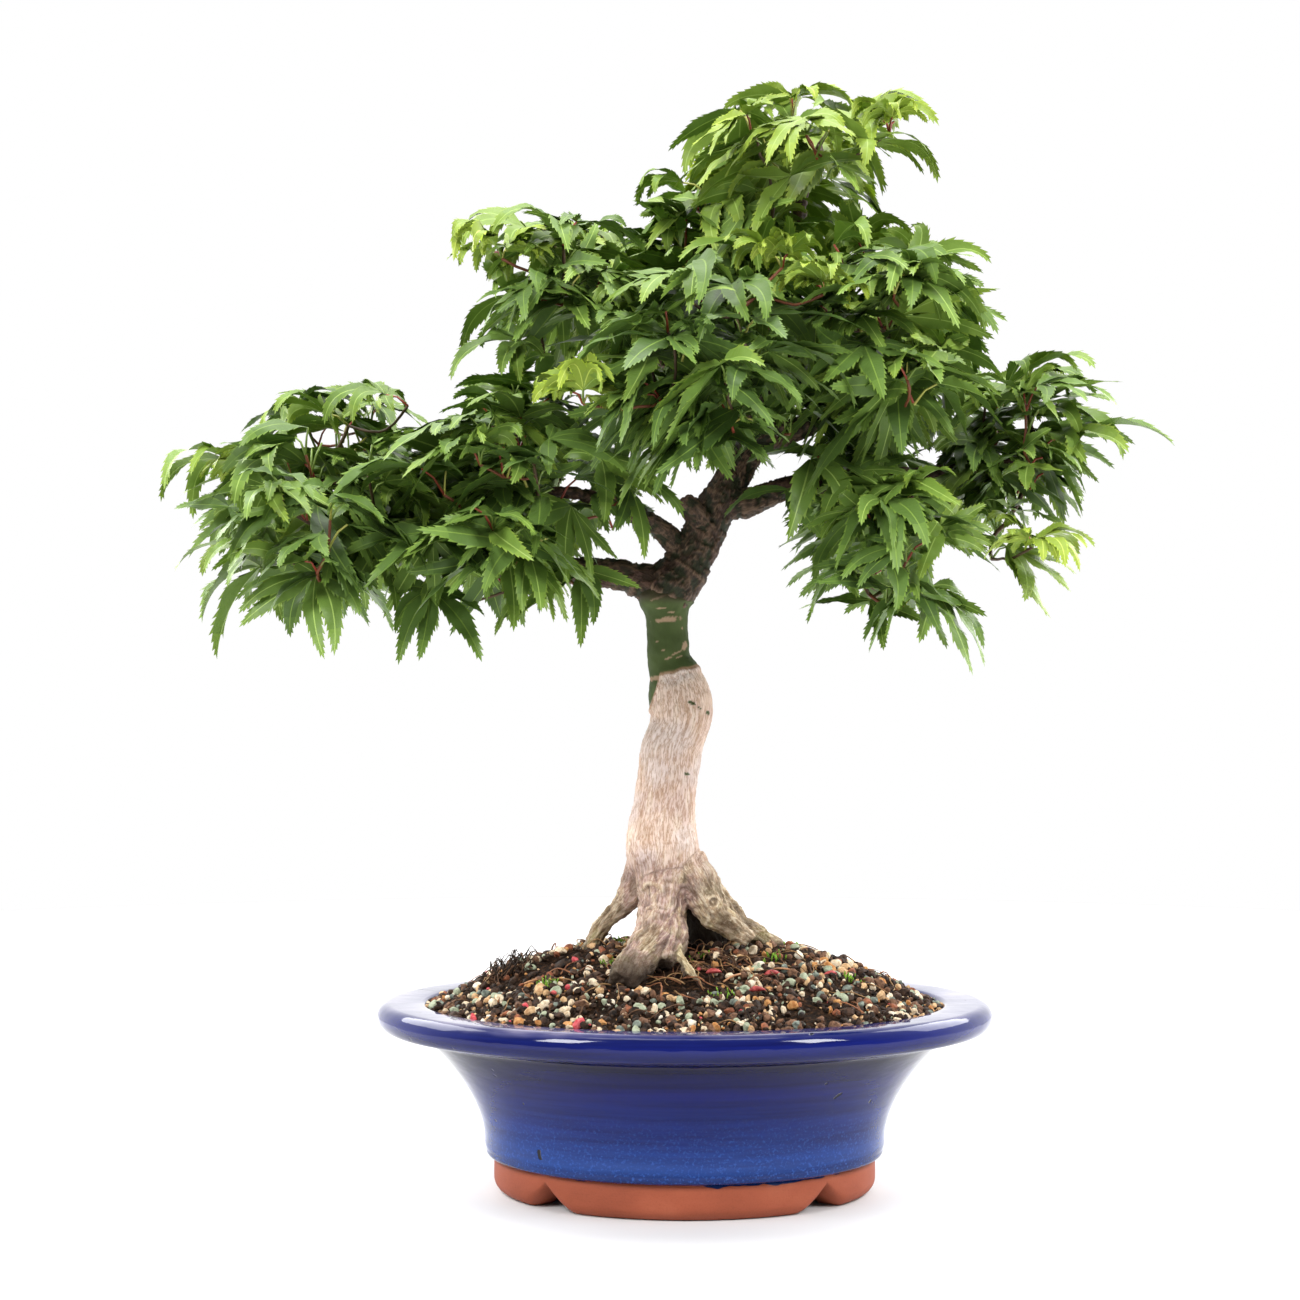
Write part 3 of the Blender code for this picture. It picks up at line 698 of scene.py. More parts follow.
BOUGHS = {
    "leader": (
        (6.4, 0, 249, 9.3), (7.7, 0, 253.3, 11), (11.1, 0, 258.9, 10.8), (15.4, 0, 264.9, 9.6),
        (21.5, 1, 276.1, 8.8), (26.6, 2, 287, 8.5), (30.9, 2, 293.5, 8.2), (34.8, 3, 301.3, 7.1),
        (39.6, 4, 310.1, 6.5), (46.1, 4, 319.6, 6.3), (50.8, 4, 330.4, 5.6), (53.8, 4, 339.1, 5),
        (56.7, 2, 362.6, 4.2), (60, 0, 388.2, 3.5), (64.2, -2, 413.8, 2.7), (66.6, -4, 434.9, 1.8)),
    "bough_left": (
        (6, 0, 252.8, 8.8), (-1.7, 0, 257.4, 7.8), (-9.4, 0, 260.1, 6.5), (-19.3, 1, 261.9, 5.8),
        (-34.4, 2, 263.3, 5.4), (-51.7, 4, 266.4, 5), (-69, 5, 269.5, 4.6), (-90.4, 4, 272.5, 4),
        (-109.7, 3, 275.9, 3.4), (-133.2, 2, 281.4, 2.7), (-154.5, 1, 289.1, 2.1),
        (-171.5, 0, 296.7, 1.5)),
    "bough_left_inner": (
        (17.2, 0, 267.5, 5.4), (9.4, -3, 275.8, 4.4), (0, -8, 283.1, 3.7),
        (-16.8, -20, 290.1, 2.9), (-35.1, -34, 293.4, 2.2), (-52.3, -44, 290, 1.5)),
    "bough_right": (
        (32.7, 2, 291, 6.6), (40.7, 0, 292, 5.7), (48, 0, 294.6, 5.1), (56.6, 0, 298, 4.7),
        (68.6, 0, 301, 4.3), (85.8, 0, 302.7, 3.7), (107.2, 0, 303.6, 3.1),
        (132.9, 0, 306.2, 2.4), (158.7, 0, 310.5, 1.6)),
    "bough_right_upper": (
        (42.2, 4, 315.3, 5.8), (50.7, 2, 320.2, 5.2), (60, 0, 322.6, 4.5), (72.7, -2, 327.5, 3.8),
        (89.9, -2, 337, 3.1), (106.8, -4, 347.9, 2.4), (121.7, -4, 359.5, 1.6)),
    "bough_left_upper": (
        (48.2, 4, 321.3, 4.9), (36.7, 6, 332.9, 4.3), (21.6, 6, 343.7, 3.9), (4.3, 6, 356.8, 3.3),
        (-15.1, 6, 369.8, 2.6), (-36.6, 4, 380.3, 1.8)),
    "bough_front": (
        (46.5, 3, 323, 4.8), (41.4, -14, 328, 4), (35.1, -36, 330.5, 3.2),
        (26.1, -60, 331.2, 2.4), (18.7, -84, 329.4, 1.6)),
    "bough_back": (
        (48.3, 6, 326.4, 4.8), (47.6, 26, 340, 3.8), (42.9, 50, 354.3, 3), (38, 76, 366.6, 2)),
    "stub": (
        (24.8, -2, 281.1, 5.2), (20.5, -6, 285.9, 4.6), (17, -10, 289.4, 4.4),
        (14.8, -11, 292.2, 3)),
}

#  swellings of the bark: place, radius and height, in mm
TRUNK_SWELLS = (
    ((-5.5, -7, 209), 4.0, 1.5), ((24, -4, 204), 8.0, 0.7), ((26, -11, 122), 5.0, 1.8),
    ((3, -14, 128), 6.0, 1.2), ((19, -6, 172), 2.4, 0.8), ((8, -13, 138), 5.0, 0.8),
    ((-4, -12, 119), 3.0, 0.9), ((12, -18, 108), 4.0, 1.4), ((36, -6, 114), 4.0, 1.0),
    ((-20, 0, 112), 3.0, 0.8), ((-26, 2, 103), 3.0, 1.0))
BOUGH_SWELLS = (
    ((44, -2, 324), 8.0, 2.4), ((52, 0, 318), 6.0, 1.6), ((22, -4, 262), 7.0, 1.4),
    ((-4, -3, 258), 5.0, 0.8), ((8, -9, 254), 6.0, 1.0), ((14.8, -11, 292), 3.5, 1.2))

#  corky patches on the green bark: x, z, half width and half height in mm, slant
CORK_PATCHES = (
    (7.6, 241.6, 5.6, 1.1, 0.10), (4.7, 246.3, 2.4, 0.3, 0.0), (3.2, 250.6, 4.0, 0.5, 0.35),
    (8.2, 225.2, 1.6, 0.35, 0.3), (11.2, 227.3, 2.2, 0.4, 0.5), (14.6, 230.2, 1.2, 2.0, 0.9),
    (12.4, 225.6, 1.6, 0.3, 0.4), (2.6, 216.6, 4.4, 1.0, 0.16), (13.8, 238.0, 0.35, 0.4, 0.0),
    (3.0, 232.0, 0.5, 0.3, 0.0), (6.0, 228.6, 0.9, 0.25, 0.3), (9.0, 244.6, 1.3, 0.25, 0.0))
#  spots where the green shows through the pale bark
GREEN_SPOTS = (
    (17.6, 206.0, 2.0, 0.7, -0.35), (24.6, 202.0, 0.8, 0.9, 0.0), (15.6, 176.0, 1.5, 0.45, -0.1),
    (21.0, 204.0, 1.2, 0.3, -0.6))


def limb_space(co, limbs):
    """For every corner: which limb it lies on, how far along, and its place across it."""
    paths = [smooth_path(s, 1.5 * MM) for s in limbs]
    batch = 20000
    best = np.full(len(co), np.inf)
    local = np.zeros((len(co), 3))
    which = np.zeros(len(co), int)
    for index, path in enumerate(paths):
        tangent, a, b = path_frames(path[:, :3])
        run = np.concatenate([[0], np.cumsum(np.linalg.norm(np.diff(path[:, :3], axis=0), axis=1))])
        for start in range(0, len(co), batch):
            part = co[start:start + batch]
            gap = np.linalg.norm(part[:, None] - path[None, :, :3], axis=2) - path[None, :, 3]
            near = gap.argmin(1)
            value = gap[np.arange(len(part)), near]
            off = part - path[near, :3]
            mine = np.stack([(off * a[near]).sum(1), (off * b[near]).sum(1),
                             run[near] + (off * tangent[near]).sum(1)], -1)
            better = value < best[start:start + batch]
            rows = np.arange(start, start + len(part))[better]
            best[rows], local[rows], which[rows] = value[better], mine[better], index
    return which, local


def remeshed(name, limbs, voxel, sides):
    """All the limbs grown together into one smooth skin."""
    parts = [(*tube_arrays(smooth_path(stations, 3.0 * MM), sides), 0) for stations in limbs]
    obj = joined(name + "_core", parts, [])
    skin = obj.modifiers.new("skin", "REMESH")
    skin.mode = "VOXEL"
    skin.voxel_size = voxel
    ease = obj.modifiers.new("ease", "SMOOTH")
    ease.factor = 0.6
    ease.iterations = 8
    bpy.context.view_layer.update()
    eased = obj.evaluated_get(bpy.context.evaluated_depsgraph_get())
    mesh = bpy.data.meshes.new_from_object(eased)
    bpy.data.objects.remove(obj, do_unlink=True)
    mesh.name = name
    mesh.shade_smooth()
    return mesh


def bark_material(name, roughness, fissure, depth, dark):
    """Bark in the colours painted on the mesh, cut by fine fissures that follow each limb
    where the mesh is marked as fissured."""
    look = Look(name, roughness, 0.3)
    cut = look.attribute("fissured", "Fac")
    way = look.attribute("along_limb", "Vector")
    lines = look.grain(fissure, 4, 0.6, (1, 1, 0.14), way)
    cracks = look.ramp(lines, (0.425, (1, 1, 1)), (0.475, dark), (0.505, dark), (0.56, (1, 1, 1)))
    specks = look.grain(fissure * 1.9, 3, 0.6, (1, 1, 0.35), way)
    pale = look.ramp(specks, (0.40, (0.82, 0.77, 0.72)), (0.50, (1, 1, 1)),
                     (0.62, (1.10, 1.09, 1.06)))
    both = look.blend("MULTIPLY", 0.8, cracks, pale)
    look.give("Base Color", look.blend("MULTIPLY", cut, look.attribute("bark", "Color"), both))
    deep = look.bump(cracks, look.maths("MULTIPLY", cut, 0.7), depth)
    look.give("Normal", look.bump(specks, look.maths("MULTIPLY", cut, 0.5), depth * 0.8, deep))
    return look.material


def paint(mesh, colours, fissured, local):
    """Stores at every vertex a bark colour, how fissured the bark is, and the place along
    and across its own limb."""
    layer = mesh.color_attributes.new("bark", "FLOAT_COLOR", "POINT")
    rows = np.ones((len(colours), 4), np.float32)
    rows[:, :3] = colours
    layer.data.foreach_set("color", rows.ravel())
    mark = mesh.attributes.new("fissured", "FLOAT", "POINT")
    mark.data.foreach_set("value", np.asarray(fissured, np.float32))
    way = mesh.attributes.new("along_limb", "FLOAT_VECTOR", "POINT")
    way.data.foreach_set("vector", local.astype(np.float32).ravel())


def mesh_arrays(mesh):
    """The places and normals of a mesh's corners."""
    found = np.zeros((2, len(mesh.vertices) * 3), np.float32)
    mesh.vertices.foreach_get("co", found[0])
    mesh.vertices.foreach_get("normal", found[1])
    return found.reshape(2, -1, 3).astype(float)


def swell(push, co, table):
    """Adds rounded swellings to how far each corner is pushed out."""
    for place, radius, height in table:
        far = np.linalg.norm(co - np.array(place) * MM, axis=1) / (radius * MM)
        push += height * MM * np.exp(-far ** 2 * 1.5)


def push_out(mesh, co, normals, push):
    co = co + normals * push[:, None]
    set_corners(mesh, co)
    mesh.update()
    return co


def green_line(co):
    """How far above the slanting edge of the smooth green bark a point lies, in metres."""
    x = co[:, 0] / MM
    line = np.where(x > 4.3, 218.0 + 0.25 * (x - 4.3), 218.0 - 3.4 * (4.3 - x))
    return co[:, 2] - (np.maximum(line, 203.5) + 0.9 * soft(co * 260, 4)) * MM


def spots(co, table, ragged):
    """How far inside any of the listed oval spots a point lies, from 0 to 1."""
    x, z = co[:, 0] / MM, co[:, 2] / MM
    found = np.zeros(len(co))
    for cx, cz, half_x, half_z, slant in table:
        far = np.hypot((x - cx) / half_x, (z - cz - slant * (x - cx)) / half_z)
        found = np.maximum(found, smoothstep(1.15, 0.85, far + ragged))
    return found


def on_limb(which, name):
    """Whether each corner lies on a root, the trunk being limb 0."""
    return which == list(ROOTS).index(name) + 1


def make_trunk():
    """Pale fissured trunk, rough roots and the smooth green neck below the fork."""
    limbs = [TRUNK, *ROOTS.values()]
    mesh = remeshed("trunk_and_roots", limbs, 0.62 * MM, 40)
    co, no = mesh_arrays(mesh)
    which, local = limb_space(co, limbs)
    local = local + which[:, None] * 0.07
    low = smoothstep(0.150, 0.124, co[:, 2] + 2 * MM * soft(co * 200, 20))
    green = smoothstep(-0.3 * MM, 0.7 * MM, green_line(co))
    bare = 1 - green
    wander = np.stack([soft(co * 45, 21), soft(co * 45, 22), np.zeros(len(co))], -1) * 0.5
    coarse = ridged(local * np.array((1, 1, 0.26)) * 270 + wander, 1) - 0.55
    medium = ridged(local * np.array((1, 1, 0.34)) * 560 + wander * 2, 2) - 0.55
    push = (fractal(co, 5, 75) * (0.60 + 1.25 * low) + coarse * (0.05 + 0.75 * low) * bare
            + medium * (0.62 * low - 0.16) * bare) * MM
    push += 0.40 * MM * smoothstep(2.0 * MM, 0.2 * MM, np.abs(green_line(co) + 0.9 * MM))
    swell(push, co, TRUNK_SWELLS)
    #  a ringed eye on the right root and a knot's arch on the left, both at the front
    eye = np.hypot(co[:, 0] / MM - 26.2, co[:, 2] / MM - 122.2) + 20 * (co[:, 1] > -2 * MM)
    push += 0.6 * MM * (smoothstep(0.9, 0.3, np.abs(eye - 2.3)) - smoothstep(1.8, 1.1, eye)
                        + smoothstep(0.9, 0.3, eye))
    knot = np.hypot(co[:, 0] / MM - 1.0, co[:, 2] / MM - 125.5) + 20 * (co[:, 1] > -4 * MM)
    arch = smoothstep(1.3, 0.4, np.abs(knot - 4.4)) * smoothstep(125.0, 127.0, co[:, 2] / MM)
    push += 0.8 * MM * arch
    co = push_out(mesh, co, no, push)

    x, y, z = co.T
    streak = soft(local * np.array((1, 1, 0.16)) * 420, 8)
    outer_root = smoothstep(13 * MM, 20 * MM, np.abs(x - 4 * MM)) * low
    blotch = fractal(co, 19, 120)
    flank = smoothstep(10 * MM, 13 * MM, x) * smoothstep(20 * MM, 16 * MM, x) * low
    mossy = smoothstep(-0.05, 0.3, fractal(co, 12, 100)) * smoothstep(0.124, 0.102, z)
    ridge = np.maximum(smoothstep(0.22, 0.42, coarse), 0.7 * smoothstep(0.26, 0.43, medium))
    trough = np.maximum(smoothstep(-0.10, -0.60, coarse), smoothstep(-0.15, -0.60, medium))
    # painted shade on the front roots just above the soil
    foot = smoothstep(0.108, 0.098, z + 4.0 * MM * blotch) * smoothstep(-0.012, -0.022, y)
    # dirt and painted shade: the roots darker towards the bottom and the back
    dirt_and_shade = smoothstep(0.105, 0.096, z + 3.0 * MM * fractal(co, 16, 160) - 0.10 * (y + 0.02))
    spur = on_limb(which, "root_small") * smoothstep(0.091, 0.096, z)
    tone = painted((0.79, 0.625, 0.535), (
        ((0.67, 0.51, 0.455), smoothstep(0.0, 0.5, fractal(co, 7, 46)) * 0.8),
        ((0.82, 0.69, 0.57), smoothstep(0.05, 0.5, streak) * 0.6),
        ((0.56, 0.39, 0.27), smoothstep(-0.05, -0.5, streak) * 0.5),
        ((0.74, 0.65, 0.63), smoothstep(0.0, 0.4, soft(co * 60, 10)) * 0.6),
        #  roots: mauve brown in front, olive grey on the others, pale ridges, dark cracks
        ((0.395, 0.268, 0.250), low * (0.70 + 0.30 * smoothstep(-0.3, 0.3, fractal(co, 11, 60)))),
        ((0.33, 0.262, 0.165), outer_root * 0.85),
        ((0.60, 0.51, 0.33), smoothstep(0.0, 0.45, blotch) * low * (0.25 + 0.6 * outer_root)),
        ((0.15, 0.115, 0.065), smoothstep(0.0, -0.5, blotch) * low * (0.2 + 0.6 * outer_root)),
        ((0.56, 0.47, 0.30), flank * smoothstep(-0.3, 0.3, blotch) * 0.8),
        ((0.24, 0.215, 0.075), mossy * 0.6),
        ((0.60, 0.50, 0.36), arch * 0.7),
        ((0.68, 0.58, 0.44), ridge * low * 0.6),
        ((0.105, 0.072, 0.050), trough * low * 0.55),
        ((0.62, 0.52, 0.38), smoothstep(0.8, 0.3, np.abs(eye - 2.3)) * 0.7),
        ((0.12, 0.085, 0.06), smoothstep(0.7, 0.3, np.abs(eye - 1.2)) * 0.6),
        # painted shade at the foot of the front roots
        ((0.120, 0.092, 0.062), foot * 0.85),
        # painted shade: the root in the hollow painted almost black
        ((0.022, 0.015, 0.010), on_limb(which, "root_in_shade") * 0.95),
        # dirt and painted shade low on the roots
        ((0.040, 0.026, 0.018), dirt_and_shade * 0.85),
        ((0.62, 0.53, 0.34), spur * np.clip(0.85 - 0.5 * smoothstep(0.0, -0.5, blotch), 0, 1))))

    ringed = soft(co * np.array((150, 150, 480)), 17)
    behind = smoothstep(0.42, 0.56, ringed) * smoothstep(0, 4 * MM, y)
    ragged = 0.45 * fractal(co * np.array((1, 1, 1.6)), 14, 420)
    neck = painted((0.050, 0.074, 0.019), (
        ((0.072, 0.103, 0.030), smoothstep(-0.1, 0.4, soft(co * 90, 13))),
        ((0.36, 0.245, 0.155), np.maximum(spots(co, CORK_PATCHES, ragged), behind) * 0.9),
        ((0.045, 0.034, 0.018), smoothstep(0.2475, 0.2515, z) * 0.85)))
    rim = smoothstep(1.1 * MM, 0.3 * MM, np.abs(green_line(co) - 0.1 * MM))
    tone = painted(tone, (
        (neck, green),
        ((0.42, 0.26, 0.15), rim * 0.85),
        ((0.055, 0.085, 0.025), spots(co, GREEN_SPOTS, 0.35 * soft(co * 800, 18)) * bare)))
    paint(mesh, tone, np.clip(bare + 0.12, 0, 1), local)
    bark = bark_material("pale_fissured_bark", 0.8, 760, 0.0005, (0.70, 0.60, 0.52))
    finish_piece(link("trunk_and_roots", mesh, [bark]), "pale_bark", "trunk", "root_left",
                 "root_right", "root_back", "root_front", "root_front_small")


def make_boughs():
    """Dark green boughs under a scaly brown crust with ring scars."""
    limbs = list(BOUGHS.values())
    mesh = remeshed("boughs", limbs, 0.7 * MM, 22)
    co, no = mesh_arrays(mesh)
    which, local = limb_space(co, limbs)
    rings = soft(np.stack([local[:, 2] * 340, which * 5.0, local[:, 0] * 40], -1), 31)
    scaly = smoothstep(-0.25, 0.10, fractal(co, 34, 260) + 0.3 * rings)
    cork = ridged(local * np.array((1, 1, 0.6)) * 620, 32)
    push = (soft(co * 120, 33) * 0.6 + scaly * (0.45 + 0.45 * cork)
            + np.clip(rings, 0, 1) * 0.6) * MM
    swell(push, co, BOUGH_SWELLS)
    across = np.hypot(local[:, 0], local[:, 1])
    co = push_out(mesh, co, no, push * smoothstep(0.8 * MM, 3.0 * MM, across))
    tone = painted((0.023, 0.027, 0.010), (
        ((0.045, 0.028, 0.018), scaly * 0.85),
        ((0.17, 0.105, 0.065), scaly * smoothstep(0.60, 0.95, 0.5 + 0.5 * cork) * 0.7),
        ((0.070, 0.026, 0.020), smoothstep(0.05, 0.4, soft(co * 100, 35)) * 0.5),
        ((0.20, 0.13, 0.085), smoothstep(0.34, 0.55, rings) * scaly * 0.6),
        ((0.014, 0.010, 0.007), smoothstep(0.1, -0.5, cork) * scaly * 0.6),
        ((0.085, 0.030, 0.020), smoothstep(3.2 * MM, 1.2 * MM, across) * 0.6)))
    paint(mesh, tone, np.full(len(co), 0.8), local)
    bark = bark_material("young_corky_bark", 0.65, 620, 0.0006, (0.45, 0.40, 0.36))
    finish_piece(link("boughs", mesh, [bark]), "dark_bark", "leader", "bough_left",
                 "bough_left_inner", "bough_right", "bough_right_upper", "bough_left_upper")


# ------------------------------------------------------------------ crown

#  masses of leaves: centre and radii in mm, tilt to the right in degrees
MASSES = {
    "leaves_left_tip": ((-170, 0, 296), (32, 52, 29), 8),
    "leaves_left_front": ((-133, -50, 283), (44, 60, 51), 4),
    "leaves_left_back": ((-143, 50, 299), (49, 60, 54), 4),
    "leaves_inner_left_front": ((-60, -56, 284), (46, 62, 49), 0),
    "leaves_inner_left_back": ((-62, 57, 306), (50, 62, 55), 0),
    "leaves_near_fork": ((-15, -33, 291), (37, 42, 34), 0),
    "leaves_upper_left_front": ((-38, -44, 377), (42, 52, 35), 12),
    "leaves_upper_left_back": ((-34, 52, 394), (44, 52, 38), 12),
    "leaves_centre_front": ((16, -90, 335), (47, 52, 45), 0),
    "leaves_centre_back": ((29, 89, 363), (55, 54, 53), 0),
    "leaves_core": ((28, 0, 383), (52, 54, 42), 0),
    "leaves_apex_left": ((22, 2, 424), (34, 54, 29), 22),
    "leaves_apex_front": ((58, -30, 437), (44, 46, 35), 0),
    "leaves_apex_back": ((63, 38, 448), (46, 46, 36), 0),
    "leaves_upper_right_front": ((96, -58, 353), (44, 56, 49), -24),
    "leaves_upper_right_back": ((109, 60, 374), (49, 58, 55), -24),
    "leaves_over_right_bough": ((72, -22, 309), (39, 43, 33), 0),
    "leaves_right_tip": ((162, 0, 317), (42, 62, 34), -14),
    "leaves_right_drop": ((150, -6, 274), (26, 40, 29), 0),
    "leaves_low_right_front": ((94, -52, 268), (44, 54, 41), 0),
    "leaves_low_right_back": ((103, 54, 287), (43, 52, 43), 0),
}
CROWN_MIDDLE = np.array((0.010, 0.0, 0.335))
SHOOT_SPACING = 21.3 * MM
TWIG_WOOD = 5.4 * MM          # boughs with a smaller radius bear twigs
TWIG_STEP = 5 * MM
TWIG_RADIUS = 0.62 * MM       # of a twig with one shoot
LEAF_GAP = 7.0 * MM           # between the hubs of neighbouring leaves
MASS_SLACK = 0.5 * MM         # how far leaves may stand out of a mass

#  leaf greens from the shaded inside to the young tips
LADDER = (
    ("leaf_deepest", (0.058, 0.106, 0.023)), ("leaf_deep", (0.080, 0.142, 0.028)),
    ("leaf_dark", (0.107, 0.183, 0.032)), ("leaf_green", (0.136, 0.223, 0.035)),
    ("leaf_mid", (0.164, 0.252, 0.038)), ("leaf_light", (0.195, 0.283, 0.039)),
    ("leaf_fresh", (0.232, 0.319, 0.042)), ("leaf_bright", (0.272, 0.357, 0.045)),
    ("leaf_young", (0.345, 0.460, 0.043)), ("leaf_tip", (0.450, 0.570, 0.058)))
RIBS = (
    ("rib_green", (0.16, 0.25, 0.045)), ("rib_pale", (0.29, 0.41, 0.095)),
    ("rib_young", (0.48, 0.57, 0.11)))
PIECE_TRIANGLES = 190000      # most triangles in one piece of the leaves

#  leaves that stand out at the crown's edge: x, y, z in mm, heading in degrees, fall,
#  size, and place on the ladder of greens
OUTER_LEAVES = (
    (-178, -6, 309, 186, -0.1, 1.05, 5), (-167, -20, 272, 196, 0.05, 0.98, 4),
    (-168, 10, 290, 170, 0.1, 0.9, 3), (-112, -10, 337, 160, -0.35, 0.8, 4),
    (-140, 4, 331, 195, -0.3, 0.8, 5), (-50, -20, 404, 176, -0.5, 0.95, 5),
    (-28, -40, 391, 190, -0.25, 1.0, 5), (-58, -25, 377, 186, -0.05, 1.0, 4),
    (-54, -30, 357, 192, 0.3, 0.85, 3), (14, -10, 428, 165, -0.2, 0.65, 4),
    (44, -5, 450, 185, -0.2, 0.85, 5), (85, -20, 452, 2, -0.4, 0.9, 6),
    (86, -30, 438, -8, -0.15, 1.0, 5), (108, -30, 384, 12, -0.60, 0.85, 4),
    (152, -10, 341, -4, -0.35, 0.95, 4), (176, -10, 319, -10, -0.05, 1.02, 4),
    (150, -20, 272, -60, 1.0, 0.95, 5), (116, -45, 254, -70, 1.3, 1.05, 3),
    (-160, -40, 262, -150, 1.0, 0.95, 3), (-134, -60, 258, -110, 1.6, 0.95, 3),
    (-89, -50, 252, -80, 1.8, 0.9, 2), (-29, -30, 262, -95, 1.9, 0.80, 3),
    (79, -60, 262, -130, 1.3, 0.8, 3), (66, -42, 306, -95, 0.9, 0.95, 3),
    (56, -48, 293, -125, 1.2, 0.8, 2), (82, -50, 300, -60, 1.0, 0.95, 3),
    (-20, -50, 306, -85, 1.1, 0.95, 3), (-8, -44, 294, -60, 1.4, 0.8, 2),
    (-32, -52, 286, -110, 1.3, 0.9, 3))
OUTER, YOUNG = "outer", "young"

#  tips of this year's bright shoots, in mm
YOUNG_SHOOTS = (
    (-26, -96, 328), (52, -86, 383), (-168, -18, 311), (157, -46, 276), (68, -88, 372),
    (100, -34, 450), (-60, -60, 392))

#  where the crown is open from the front: x and z at the trunk's depth, and radius, in mm
SKY_GAPS = (
    (-33, 298, 6.5), (21, 298, 7), (6, 289, 5), (58, 306, 6), (13, 331, 3), (60, 324, 2.6),
    (47, 285, 9), (-109, 367, 15), (-96, 358, 12), (-149, 319, 4.5), (-139, 320, 5),
    (-129, 321, 4.5), (130, 268, 6), (139, 264, 6), (124, 261, 4))

#  leaves along a shoot: mm back from its end, yaw from its heading, extra fall
PAIRS = ((0, 62, 0.0), (0, -62, 0.0), (11, 18, -0.15), (12, -118, 0.1), (13, 118, 0.1),
         (22, 75, 0.1), (23, -75, 0.1))

LOBE_LENGTH = 45 * MM
#  a leaf's lobes: angle from its middle, and length as a share of the middle lobe's
LOBES = ((0, 1.0), (33, 0.94), (-33, 0.94), (65, 0.76), (-65, 0.76), (100, 0.44), (-100, 0.44))
#  places along a lobe from hub to tip, and its half width there as a share of the widest
STATIONS = np.array(
    [0.0, 0.08, 0.16, 0.24, 0.33, 0.41, 0.49, 0.57, 0.65, 0.73, 0.81, 0.88, 0.94, 1.0])
WIDTHS = np.array(
    [0.13, 0.34, 0.60, 0.83, 0.97, 1.0, 0.93, 0.82, 0.69, 0.55, 0.41, 0.27, 0.15, 0.0])
RIB_HALF = 0.062              # a midrib's half width as a share of its lobe's
TOOTH = 0.26                  # how far teeth stand out, in the same measure


def lobe_pattern():
    """One flat lobe as (across, along) places, triangles, and each triangle's part:
    0, 1 and 2 blade from the hub to the tip, 3 toothed edge, 4 midrib."""
    rows = len(STATIONS) - 1
    across = (-1.0, -0.05, 0.05, 1.0)
    bm = bmesh.new()
    bmesh.ops.create_grid(bm, x_segments=3, y_segments=rows, size=0.5)
    for v in bm.verts:
        v.co = (across[round((v.co.x + 0.5) * 3)], round((v.co.y + 0.5) * rows), 0)
    part = bm.faces.layers.int.new("part")
    for f in bm.faces:
        middle = f.calc_center_median()
        f[part] = 4 if abs(middle.x) < 0.02 else int(middle.y >= 5) + int(middle.y >= 9)
    sides = [e for e in bm.edges
             if e.is_boundary and abs(e.verts[0].co.x - e.verts[1].co.x) < 1e-6]
    for e in sides:
        a, b = sorted(e.verts, key=lambda v: v.co.y)
        row = round(a.co.y)
        if row < 2 or row > rows - 2:
            continue
        #  big and small teeth take turns, and the two sides alternate
        out, on = (2.0, 0.34) if row % 2 == (a.co.x > 0) else (1.65, 0.2)
        tip = bm.verts.new((math.copysign(out, a.co.x), b.co.y + on, 0))
        f = bm.faces.new((a, b, tip) if a.co.x < 0 else (b, a, tip))
        f[part] = 3
    tips = [v for v in bm.verts if v.co.y > rows - 0.001 and abs(v.co.x) < 1.01]
    bmesh.ops.pointmerge(bm, verts=tips, merge_co=(0, rows, 0))
    bmesh.ops.triangulate(bm, faces=bm.faces)
    parts = np.array([f[part] for f in bm.faces])
    co, tris = shape_arrays(bm)
    flip = np.cross(co[tris[:, 1]] - co[tris[:, 0]], co[tris[:, 2]] - co[tris[:, 0]])[:, 2] < 0
    tris[flip] = tris[flip][:, ::-1]
    beyond = (STATIONS[-1] - STATIONS[-2]) * np.maximum(co[:, 1] - rows, 0)
    co[:, 1] = np.interp(co[:, 1], np.arange(rows + 1), STATIONS) + beyond
    return co[:, :2], tris, parts


